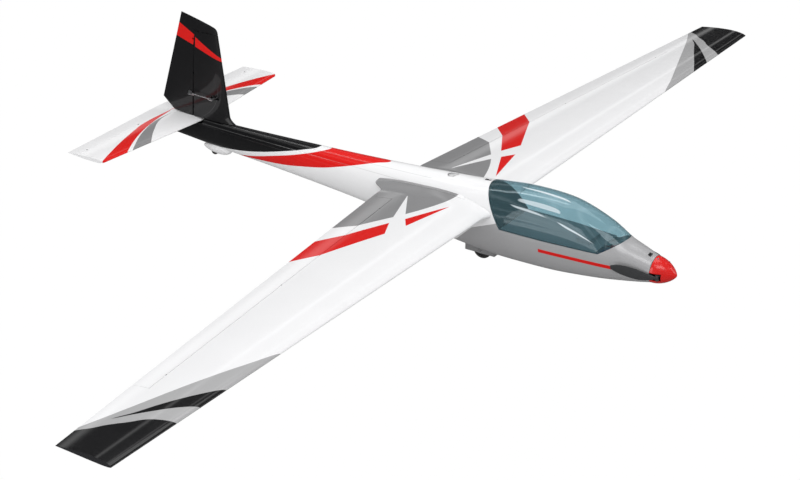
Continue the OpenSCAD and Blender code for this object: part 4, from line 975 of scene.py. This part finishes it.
class Graph(Nodes):
    """One material's nodes; x, y and z are the object's own coordinates in mm, as in the shape laws."""

    def __init__(self, name):
        self.material = bpy.data.materials.new(name)
        self.material.use_nodes = True
        super().__init__(self.material.node_tree)
        self.surface = self.nodes["Principled BSDF"]
        coords = self.nodes.new("ShaderNodeTexCoord").outputs["Object"]
        scale, offset = (1 / MM,) * 3, tuple(-SHIFT)
        self.point = self.add("ShaderNodeVectorMath", (coords, scale, offset), "MULTIPLY_ADD")
        self.x, self.y, self.z = self.split(self.point)
        self.across = self.calc("ABSOLUTE", self.x)

    def finish(self, shader):
        self.put(shader, self.nodes["Material Output"].inputs["Surface"])

    def brightened(self, colour, share):
        """Colour times a number."""
        node = self.nodes.new("ShaderNodeVectorMath")
        node.operation = "SCALE"
        self.put(colour, node.inputs[0])
        self.put(share, node.inputs["Scale"])
        return node.outputs[0]

    def blend(self, share, a, b):
        """Colour a turning into colour b."""
        node = self.nodes.new("ShaderNodeMix")
        node.data_type = "RGBA"
        for value, place in ((share, 0), (a, 6), (b, 7)):
            self.put(value, node.inputs[place])
        return node.outputs[2]

    def scaled(self, stretch):
        return self.add("ShaderNodeVectorMath", (self.point, tuple(1 / v for v in stretch)), "MULTIPLY")

    def noise(self, size, detail=3.0):
        """Noise from 0 to 1 with a grain size in mm, or one per axis."""
        stretch = size if isinstance(size, tuple) else (size,) * 3
        node = self.nodes.new("ShaderNodeTexNoise")
        self.put(self.scaled(stretch), node.inputs["Vector"])
        node.inputs["Scale"].default_value = 1
        node.inputs["Detail"].default_value = detail
        return node.outputs["Fac"]

    def ranged(self, value, low, high):
        """0 to 1 value as a number from low to high."""
        return self.calc("MULTIPLY_ADD", value, high - low, low)

    def both(self, *distances):
        return functools.reduce(lambda a, b: self.calc("MINIMUM", a, b), distances)

    def either(self, *distances):
        return functools.reduce(lambda a, b: self.calc("MAXIMUM", a, b), distances)

    def mask(self, distance, edge=0.35):
        """1 where a signed distance in mm is above 0, with a soft edge."""
        return self.add("ShaderNodeMath", (distance, 1 / edge, 0.5), "MULTIPLY_ADD", use_clamp=True)

    def above(self, u, v, start, end):
        """Distance of v above the line from start to end, where end has the larger u."""
        slope = (end[1] - start[1]) / (end[0] - start[0])
        line = self.calc("MULTIPLY_ADD", u, slope, start[1] - slope * start[0])
        return self.times(self.minus(v, line), 1 / math.hypot(1, slope))

    def below(self, u, v, start, end):
        return self.times(self.above(u, v, start, end), -1.0)

    def inside(self, u, v, corners):
        """Distance inside a convex polygon."""
        ring = list(zip(corners, corners[1:] + corners[:1]))
        turn = 1 if sum(a[0] * b[1] - b[0] * a[1] for a, b in ring) > 0 else -1
        sides = []
        for a, b in ring:
            length = math.dist(a, b)
            nu, nv = -(b[1] - a[1]) * turn / length, (b[0] - a[0]) * turn / length
            part = self.calc("MULTIPLY_ADD", u, nu, -(nu * a[0] + nv * a[1]))
            sides.append(self.calc("MULTIPLY_ADD", v, nv, part))
        return self.both(*sides)

    def curve(self, value, points):
        """Smooth curve through points, read at a value."""
        (left, right), (low, high) = ((min(line), max(line)) for line in zip(*points))
        node = self.nodes.new("ShaderNodeFloatCurve")
        line = node.mapping.curves[0]
        spots = sorted(((x - left) / (right - left), (y - low) / (high - low)) for x, y in points)
        for _ in spots[2:]:
            line.points.new(0.5, 0.5)
        for point, spot in zip(line.points, spots):
            point.location = spot
        node.mapping.update()
        share = self.calc("MULTIPLY_ADD", value, 1 / (right - left), -left / (right - left))
        self.put(share, node.inputs["Value"])
        return self.calc("MULTIPLY_ADD", node.outputs[0], high - low, low)

    def under(self, u, v, points):
        """Distance of v below a curve through points."""
        return self.minus(self.curve(u, points), v)

    def over(self, u, v, points):
        return self.times(self.under(u, v, points), -1.0)

    def paint(self, colour, *layers):
        """Colour with (distance, colour) layers painted over it in turn."""
        for distance, layer in layers:
            colour = self.blend(self.mask(distance), colour, layer)
        return colour

    def bump(self, height, strength, distance=0.02):
        node = self.nodes.new("ShaderNodeBump")
        node.inputs["Strength"].default_value = strength
        node.inputs["Distance"].default_value = distance * MM
        self.put(height, node.inputs["Height"])
        self.put(node.outputs[0], self.surface.inputs["Normal"])

    def worn(self, colour, lighter, radius=0.35):
        """Colour with lighter rubbed edges, broken up by noise."""
        bevel = self.nodes.new("ShaderNodeBevel")
        bevel.samples = 4
        bevel.inputs["Radius"].default_value = radius * MM
        normal = self.nodes.new("ShaderNodeNewGeometry").outputs["Normal"]
        edge = self.minus(0.985, self.dot(bevel.outputs[0], normal))
        share = self.mask(self.times(edge, self.noise(1.5)), 0.08)
        share = self.times(self.minus(share, 0.5), 1.1)
        return self.blend(share, colour, lighter)

    def groove(self):
        """1 in the grooves that are marked on the mesh."""
        attribute = self.nodes.new("ShaderNodeAttribute")
        attribute.attribute_name = "groove"
        return attribute.outputs["Fac"]

    def shell(self, colour, roughness, coat=0.0, metallic=0.0):
        """Sets the colour, roughness, clear coat and metal of the surface."""
        self.put(colour, self.surface.inputs["Base Color"])
        self.put(roughness, self.surface.inputs["Roughness"])
        self.put(metallic, self.surface.inputs["Metallic"])
        self.put(coat, self.surface.inputs["Coat Weight"])
        self.put(0.04, self.surface.inputs["Coat Roughness"])
        return self.material


def tinted(colour, share):
    return tuple(min(1.0, c * share) for c in colour)


FILM_SPECULAR = 0.25


def film(g, colour, rough=0.36, coat=0.8):
    """Glossy skin: slow colour clouds, faint moulding grain and an uneven sheen."""
    clouded = g.brightened(colour, g.ranged(g.noise(130, 2), 0.97, 1.03))
    g.bump(g.noise(14, 2), 0.05, 0.03)
    g.put(FILM_SPECULAR, g.surface.inputs["Specular IOR Level"])
    return g.shell(clouded, g.ranged(g.noise(35, 3), rough - 0.06, rough + 0.08), coat)


def gray_root(g):
    """Distance inside the gray areas at the wing's root."""
    u, v = g.across, g.y
    wide = g.both(
        g.above(u, v, (85, 173), (189.5, 138.5)),
        g.above(u, v, (189.5, 138.5), (254, 182)),
        g.above(u, v, (254, 182), (277, 220)),
    )
    front_edge = g.curve(u, [(30, 76), (41, 78), (85, 90), (126, 105), (167, 125), (200, 145)])
    behind = g.minus(v, front_edge)
    star = g.both(g.below(u, v, (85, 172), (167.4, 124)), behind)
    return g.either(wide, star, g.both(g.minus(85.5, u), behind))


def wing_finish():
    g = Graph("wing_paint")
    u, v = g.across, g.y
    band = g.both(
        g.either(g.below(u, v, (217, 130), (302, 177)), g.below(u, v, (302, 177), (345, 214))),
        g.above(u, v, (265, 109), (403, 167)),
        g.above(u, v, (403, 167), (445, 203)),
        g.above(u, v, (217, 130), (265, 109)),
    )
    tip_gray = g.under(u, v, [
        (700, -8), (752, 6.5), (812, 22), (875, 42), (942, 64), (1065, 106), (1127, 131), (1205, 168),
    ])
    wedge = g.both(
        g.under(u, v, [
            (860, -20), (906, 8), (945, 27), (971, 40), (1020, 64), (1057, 81), (1092, 103),
            (1205, 160),
        ]),
        g.over(u, v, [
            (940, -30), (977, 9), (1000, 28), (1037, 57), (1065, 80), (1092, 103), (1120, 135),
            (1205, 230),
        ]),
    )
    tip_black = g.under(u, v, [
        (1010, -30), (1038, 9.5), (1050, 29), (1065, 50), (1086, 68), (1112, 96), (1131, 113),
        (1141, 126), (1205, 190),
    ])
    colour = g.paint(
        WHITE,
        (gray_root(g), WING_GRAY),
        (band, RED),
        (g.inside(u, v, [(187, 112), (214, 93), (90, 68)]), RED),
        (tip_gray, TIP_GRAY),
        (g.either(wedge, tip_black), BLACK),
        (g.minus(u, HALF_SPAN - 0.3), tinted(BLACK, 3)),
    )
    return film(g, colour)


def fairing_finish():
    g = Graph("fairing_paint")
    colour = g.paint(WHITE, (gray_root(g), WING_GRAY))
    # Painted shade: near-black lines on the marked creases beside the beads.
    return film(g, g.blend(g.times(g.groove(), 0.7), colour, (0.05, 0.05, 0.05)))


def tail_finish():
    g = Graph("tail_paint")
    u, v = g.across, g.y
    red = g.both(
        g.under(u, v, [
            (0, 854.5), (7, 854), (54, 855), (101, 852.5), (136, 845), (306, 793), (320, 788),
        ]),
        g.over(u, v, [(0, 853), (10, 851), (70, 842), (127, 828), (232, 785), (320, 740)]),
    )
    gray = g.both(
        g.under(u, v, [(0, 840), (15, 840), (73, 840), (128, 825), (216, 784), (320, 730)]),
        g.over(u, v, [(0, 841), (15, 840), (61, 835), (115, 809), (162, 779), (320, 670)]),
    )
    return film(g, g.paint(WHITE, (red, RED), (gray, WING_GRAY)))


def fin_finish():
    g = Graph("fin_paint")
    stripe = g.either(
        g.inside(g.y, g.z, [(821, 229), (830, 197), (782, 185), (778, 209)]),
        g.inside(g.y, g.z, [(775.6, 204), (776.4, 182), (700, 157), (700, 163)]),
    )
    # A thin lighter line is painted along an arc on the black fin, from low at the back up to near the leading
    # edge.
    arc_y = g.curve(g.z, [(10, 800), (22, 763), (45, 733.8), (72, 719.6), (102, 715.6), (104, 715)])
    near_arc = g.minus(0.45, g.calc("ABSOLUTE", g.minus(g.y, arc_y)))
    arc_line = g.both(near_arc, g.minus(102, g.z))
    return film(g, g.paint(BLACK, (stripe, RED), (arc_line, (0.05, 0.05, 0.055))), 0.36, 0.6)


# Edges of the tail boom's paint, seen from the side
BOOM_BLACK = [
    (430, 60), (447, 24.8), (479, 14.6), (524, 1.7), (598, -18), (650, -29), (705, -36.4),
    (760, -40), (850, -40),
]
BOOM_RED_TOP = [
    (330, 60), (400, 32.5), (420, 25.8), (435, 21), (459, 12.8), (508, -2.8), (557.5, -17),
    (616, -33.6), (657, -43.3), (680, -50),
]
BOOM_RED_LOW = [
    (240, 40), (269, 32.2), (295, 27.5), (335, 16.4), (378, 3.4), (424, -9.8), (473, -20.4),
    (539, -32.7), (603, -39.8), (680, -48),
]


def body_finish():
    g = Graph("body_paint")
    y, z = g.y, g.z
    black = g.both(g.over(y, z, BOOM_BLACK), g.minus(y, 440))
    red = g.both(
        g.under(y, z, BOOM_RED_TOP),
        g.over(y, z, BOOM_RED_LOW),
        g.minus(y, 242),
        g.minus(678, y),
    )
    gray = g.both(g.below(y, z, (-19, -13), (37, -36.5)), g.below(y, z, (37, -36.5), (79, -77)))
    stripe = g.inside(y, z, [(-292, -51), (-117, -51), (-117, -43), (-292, -43)])
    flake = g.nodes.new("ShaderNodeTexVoronoi")
    g.put(g.scaled((0.35,) * 3), flake.inputs["Vector"])
    flake.inputs["Scale"].default_value = 1
    glint = g.ranged(g.add("ShaderNodeSeparateColor", (flake.outputs["Color"],)), 0.9, 1.1)
    metal = g.brightened(METAL_GRAY, glint)
    colour = g.paint(WHITE, (gray, metal), (stripe, RED), (red, RED), (black, BLACK))
    # Painted shade and highlight in the spine grooves: the lines are blended towards gray, which darkens them on
    # the white and lightens them on the black and red.
    colour = g.blend(g.times(g.groove(), 0.35), colour, (0.30, 0.30, 0.30))
    material = film(g, colour, 0.35, 0.6)
    plain = g.minus(g.mask(gray), g.mask(stripe))
    g.put(g.times(plain, 0.2), g.surface.inputs["Metallic"])
    return material


# Strips of painted highlight on the canopy, drawn where its mirrored direction points into them: start and end
# direction, half width at the middle, strength
HIGHLIGHT_STRIPS = (
    ((0.52, 0.53, 0.67), (0.24, 0.19, 0.95), 0.08, 0.85),
    ((-0.44, 0.49, 0.75), (-0.72, 0.25, 0.65), 0.11, 0.6),
    ((-0.69, 0.52, 0.50), (-0.86, 0.36, 0.35), 0.03, 0.65),
    ((-0.91, 0.27, 0.32), (-0.99, 0.10, 0.11), 0.032, 0.75),
)


def strip_share(g, way, start, end, wide):
    """1 where a direction points into a lens-shaped strip, with a soft edge."""
    start, end = Vector(start), Vector(end)

    def toward(goal):
        return g.dot(way, tuple(goal.normalized()))

    run = g.times(toward(end - start), 2 / (end - start).length)
    taper = g.calc("MULTIPLY_ADD", g.times(run, run), -wide, wide)
    off = g.calc("ABSOLUTE", toward(start.cross(end)))
    inside = g.mask(g.minus(taper, off), 0.02)
    return g.times(inside, g.calc("GREATER_THAN", toward(start + end), 0.5))


def glass_finish():
    """Smoky teal canopy: a tinted see-through shell with clear reflections, a faint haze and glowing strips of
    painted highlight.
    """
    g = Graph("canopy_finish")
    cloud = g.noise(60, 2)
    tint = g.blend(cloud, (0.74, 0.855, 0.885), (0.77, 0.87, 0.90))
    clear = g.add("ShaderNodeBsdfTransparent", (tint,))
    haze = g.add("ShaderNodeBsdfDiffuse", ((0.17, 0.30, 0.34),))
    shine = g.nodes.new("ShaderNodeBsdfGlossy")
    shine.inputs["Color"].default_value = (0.95, 0.98, 1, 1)
    g.put(g.ranged(g.noise(20, 3), 0.015, 0.045), shine.inputs["Roughness"])
    body = g.add("ShaderNodeMixShader", (0.12, clear, haze))
    facing = g.nodes.new("ShaderNodeLayerWeight")
    facing.inputs["Blend"].default_value = 0.5
    mirror = g.ranged(g.calc("POWER", facing.outputs["Facing"], 4.0), 0.035, 0.6)
    shell_mix = g.add("ShaderNodeMixShader", (mirror, body, shine.outputs[0]))
    reflection = g.nodes.new("ShaderNodeTexCoord").outputs["Reflection"]
    backs = g.nodes.new("ShaderNodeNewGeometry").outputs["Backfacing"]
    front = g.minus(1.0, backs)
    # Painted highlights: the front of the shell glows wherever its mirrored direction falls in one of the
    # strips.
    glow = g.add("ShaderNodeEmission", ((0.86, 0.95, 1.0), 0.95))
    for start, end, wide, strength in HIGHLIGHT_STRIPS:
        share = g.times(strip_share(g, reflection, start, end, wide), front)
        shell_mix = g.add("ShaderNodeMixShader", (g.times(share, strength), shell_mix, glow))
    g.finish(shell_mix)
    g.surface.inputs["Base Color"].default_value = (0.32, 0.5, 0.55, 1)
    g.surface.inputs["Alpha"].default_value = 0.45
    return g.material


def moulded_finish(name, colour, rough=0.5, grain=0.6, coat=0.0, metallic=0.0, depth=0.25):
    """Plain moulded or coated part: grain, uneven sheen and rubbed edges."""
    g = Graph(name)
    clouded = g.blend(g.noise(9, 3), tinted(colour, 0.82), tinted(colour, 1.12))
    worn = g.worn(clouded, tuple(mix(c, 0.75, 0.3) for c in colour))
    g.bump(g.noise(grain, 4), depth, 0.03)
    return g.shell(worn, g.ranged(g.noise(6, 4), rough - 0.08, rough + 0.12), coat, metallic)


def metal_finish(name, colour, rough, stretch):
    """Bare metal, brushed along its stretched axis."""
    g = Graph(name)
    brushed = g.noise(stretch, 3)
    g.bump(brushed, 0.2, 0.02)
    clouded = g.blend(brushed, tinted(colour, 0.75), tinted(colour, 1.15))
    sheen = g.ranged(g.noise(5, 3), rough - 0.05, rough + 0.12)
    return g.shell(g.worn(clouded, (0.9, 0.9, 0.9)), sheen, 0, 1.0)


def weave(g, pitch):
    """0 to 1 cloth pattern whose threads pass over each other, wrapped round the part."""
    angle = 2 * math.pi / pitch
    along_x = g.calc("SINE", g.times(g.calc("ADD", g.x, g.z), angle))
    along_y = g.calc("SINE", g.times(g.minus(g.y, g.z), angle))
    return g.mask(g.times(along_x, along_y), 0.8)


def carbon_finish():
    g = Graph("carbon_finish")
    cloth = weave(g, 2.2)
    g.bump(cloth, 0.25, 0.05)
    colour = g.blend(cloth, (0.012, 0.012, 0.013), (0.05, 0.05, 0.055))
    return g.shell(colour, g.ranged(cloth, 0.3, 0.42), 0.5)


def strap_finish():
    g = Graph("strap_finish")
    cloth = weave(g, 0.9)
    g.bump(cloth, 0.9, 0.15)
    return g.shell(g.blend(cloth, (0.012, 0.012, 0.013), (0.05, 0.05, 0.052)), 0.85)


def plywood_finish():
    g = Graph("plywood_finish")
    grain = g.noise((3.5, 40, 3.5), 5)
    ply = g.calc("SINE", g.times(g.z, 2 * math.pi / 0.8))
    light = g.blend(grain, (0.40, 0.24, 0.11), (0.66, 0.46, 0.26))
    g.bump(grain, 0.4, 0.06)
    colour = g.blend(g.ranged(ply, 0.12, 0.3), light, (0.25, 0.13, 0.06))
    return g.shell(colour, g.ranged(grain, 0.5, 0.7))


def rubber_finish():
    g = Graph("rubber_finish")
    dust = g.noise(2.5, 5)
    g.bump(g.noise(0.5, 3), 0.5, 0.05)
    colour = g.blend(dust, (0.010, 0.010, 0.010), (0.045, 0.043, 0.040))
    return g.shell(colour, g.ranged(dust, 0.6, 0.85))


def copper_finish():
    g = Graph("copper_finish")
    turns = g.calc("SINE", g.times(g.y, 2 * math.pi / 0.8))
    g.bump(turns, 0.8, 0.15)
    colour = g.blend(g.noise(2, 3), (0.55, 0.19, 0.07), (0.80, 0.32, 0.13))
    return g.shell(colour, g.ranged(g.noise(3, 2), 0.28, 0.45), 0.2, 1.0)


def spinner_finish():
    g = Graph("spinner_finish")
    g.bump(g.noise(4, 2), 0.05)
    clouded = g.blend(g.noise(12, 3), tinted(RED, 0.95), tinted(RED, 1.05))
    return g.shell(clouded, g.ranged(g.noise(7, 3), 0.29, 0.36), 0.7)


FINISHES = {
    "white_shell": body_finish(),
    "white_skin": wing_finish(),
    "black_skin": fin_finish(),
    "gray_skin": fairing_finish(),
    "canopy_glass": glass_finish(),
    "dark_plastic": moulded_finish("dark_plastic_finish", (0.035, 0.036, 0.038), 0.45, 0.5),
    "nylon": moulded_finish("nylon_finish", (0.05, 0.05, 0.052), 0.5),
    "white_nylon": moulded_finish("white_nylon_finish", (0.78, 0.78, 0.75), 0.42),
    "servo_case": moulded_finish("servo_case_finish", (0.03, 0.035, 0.06), 0.4, 0.4, 0.2),
    "receiver_case": moulded_finish("receiver_case_finish", (0.10, 0.11, 0.13), 0.5),
    "battery_wrap": moulded_finish("battery_finish", (0.02, 0.07, 0.24), 0.3, 6.0, 0.4, 0.0, 0.6),
    "controller_wrap": moulded_finish("controller_finish", (0.55, 0.10, 0.02), 0.3, 4.0, 0.4, 0.0, 0.6),
    "blade_gray": moulded_finish("blade_finish", (0.045, 0.047, 0.05), 0.38, 0.5, 0.15),
    "can_black": moulded_finish("motor_can_finish", (0.02, 0.02, 0.022), 0.32, 0.4, 0.1, 0.6),
    "steel": metal_finish("steel_finish", (0.58, 0.58, 0.6), 0.28, (3.0, 25.0, 0.6)),
    "aluminium": metal_finish("aluminium_finish", (0.72, 0.73, 0.75), 0.34, (0.5, 8.0, 0.5)),
    "carbon": carbon_finish(),
    "strap": strap_finish(),
    "plywood": plywood_finish(),
    "rubber": rubber_finish(),
    "copper": copper_finish(),
    "spinner_red": spinner_finish(),
}


def wear(obj, material):
    """Puts one material on all of a piece's faces."""
    obj.data.materials.clear()
    obj.data.materials.append(material)
    obj.data.polygons.foreach_set("material_index", [0] * len(obj.data.polygons))


for part in frame["record"]["subparts"]:
    for slot in frame["nodes"][part["node"]].material_slots:
        slot.material = FINISHES[part["material_slot"]]
for node, material in (
    ("main_wheel_pod", moulded_finish("wheel_pod_finish", WING_GRAY, 0.4, 0.8)),
    ("tail_wheel_pod", moulded_finish("tail_pod_finish", WHITE, 0.3, 1.2, 0.3)),
    ("wing_lock_screw", moulded_finish("lock_screw_finish", (0.7, 0.7, 0.7), 0.35)),
    ("canopy_deck", moulded_finish("cockpit_finish", (0.17, 0.18, 0.19), 0.55, 0.8)),
):
    for slot in frame["nodes"][node].material_slots:
        slot.material = material
for pieces, finish in (
    (body_pieces, "white_shell"), ([canopy], "canopy_glass"), (fairing_pieces, "gray_skin"),
    (wing_pieces + aileron_pieces, "white_skin"), ([fin, rudder], "black_skin"),
    (blade_pieces, "blade_gray"), (aileron_horns + [elevator_horn], "white_nylon"), ([rudder_horn], "aluminium"),
):
    for piece in pieces:
        wear(piece, FINISHES[finish])
tail_paint = tail_finish()
for piece in (stabilizer, elevator):
    wear(piece, tail_paint)


# ---- Stage, light and camera ----

FLOOR_DROP = 0.5


def build_floor():
    """Large pale floor, well below the model."""
    angles = np.linspace(0, 2 * np.pi, 96, endpoint=False)
    circle = np.stack([np.cos(angles), np.sin(angles), np.zeros_like(angles)], axis=-1)
    rings = [circle * radius / MM for radius in (0.01, 4, 20, 60)]
    faces = grid_faces(len(rings), len(angles), len(angles))
    points = np.concatenate(rings) - SHIFT - (0, 0, FLOOR_DROP / MM)
    floor = new_mesh("studio_floor", points, faces)
    g = Graph("floor_finish")
    path = g.nodes.new("ShaderNodeLightPath")
    pale = g.blend(g.noise(700, 2), (0.50, 0.50, 0.50), (0.54, 0.54, 0.54))
    g.shell(g.blend(path.outputs["Is Glossy Ray"], pale, (0.12, 0.12, 0.12)), 0.9)
    glow = g.add("ShaderNodeEmission", ((1, 1, 1), 1.01))
    share = g.times(path.outputs["Is Camera Ray"], 0.985)
    g.finish(g.add("ShaderNodeMixShader", (share, g.surface.outputs[0], glow)))
    wear(floor, g.material)


# The sky's strength as light, as reflections see it, and that of the bands in it
SKY, SKY_SEEN, SKY_BAND = 0.74, 0.015, 0.8
SKY_BANDS, SKY_SHARPNESS = 17.0, 6.0


def build_sky():
    """White surround; reflections see a dimmer sky with soft bands, as in a studio."""
    world = bpy.data.worlds.new("studio")
    bpy.context.scene.world = world
    world.use_nodes = True
    g = Nodes(world.node_tree)
    direction = g.nodes.new("ShaderNodeTexCoord").outputs["Generated"]
    _, back, up = g.split(direction)
    wave = g.calc("SINE", g.times(g.calc("ARCTAN2", up, g.times(back, -1.0)), SKY_BANDS))
    bands = g.calc("POWER", g.calc("MAXIMUM", wave, 0.0), SKY_SHARPNESS)
    glossy = g.calc("MULTIPLY_ADD", bands, SKY_BAND, SKY_SEEN)
    path = g.nodes.new("ShaderNodeLightPath").outputs
    strength = g.calc("ADD", g.times(path["Is Glossy Ray"], g.minus(glossy, SKY)), SKY)
    camera = g.calc("ADD", strength, g.times(path["Is Camera Ray"], 1.0 - SKY))
    background = g.nodes["Background"]
    g.put(camera, background.inputs["Strength"])
    g.put((1, 1, 1), background.inputs["Color"])


# Name, place in m, width, height and power in W of each area lamp
LIGHTS = (
    ("key_panel", (-2.2, -1.8, 3.4), 2.6, 1.6, 33),
    ("top_panel", (0.4, 0.6, 3.6), 3.0, 2.2, 27),
    ("nose_panel", (1.6, -3.0, 1.7), 1.3, 1.6, 12),
    ("canopy_strip", (-0.25, 1.4, 2.7), 0.3, 2.4, 9),
    ("side_panel", (-3.4, 0.9, 0.5), 1.6, 2.6, 22),
)


def build_lights():
    for name, spot, wide, tall, power in LIGHTS:
        data = bpy.data.lights.new(name, "AREA")
        data.shape = "RECTANGLE"
        data.size, data.size_y, data.energy = wide, tall, power
        lamp = bpy.data.objects.new(name, data)
        lamp.location = spot
        lamp.visible_camera = False
        lamp.rotation_mode = "QUATERNION"
        lamp.rotation_quaternion = (Vector((0, 0.1, 0.1)) - Vector(spot)).to_track_quat("-Z", "Y")
        bpy.context.scene.collection.objects.link(lamp)


CAMERA_AT, CAMERA_BACK = Vector((-3.27837, -1.92240, 1.87098)), Vector((-0.75572, -0.48993, 0.43458))
CAMERA_TURN, CAMERA_ROLL = -57.045, 0.421


def build_camera():
    data = bpy.data.cameras.new("camera")
    data.lens, data.sensor_width = 92.27, 36.0
    camera = bpy.data.objects.new("camera", data)
    bpy.context.scene.collection.objects.link(camera)
    turn, roll = math.radians(CAMERA_TURN), math.radians(CAMERA_ROLL)
    right = Vector((math.cos(turn), math.sin(turn), 0))
    up = CAMERA_BACK.cross(right)
    across = math.cos(roll) * right + math.sin(roll) * up
    upward = math.cos(roll) * up - math.sin(roll) * right
    matrix = Matrix((across, upward, CAMERA_BACK)).transposed().to_4x4()
    matrix.translation = CAMERA_AT
    camera.matrix_world = matrix
    bpy.context.scene.camera = camera


build_floor()
build_sky()
build_lights()
build_camera()
bpy.context.scene.view_settings.view_transform = "Standard"
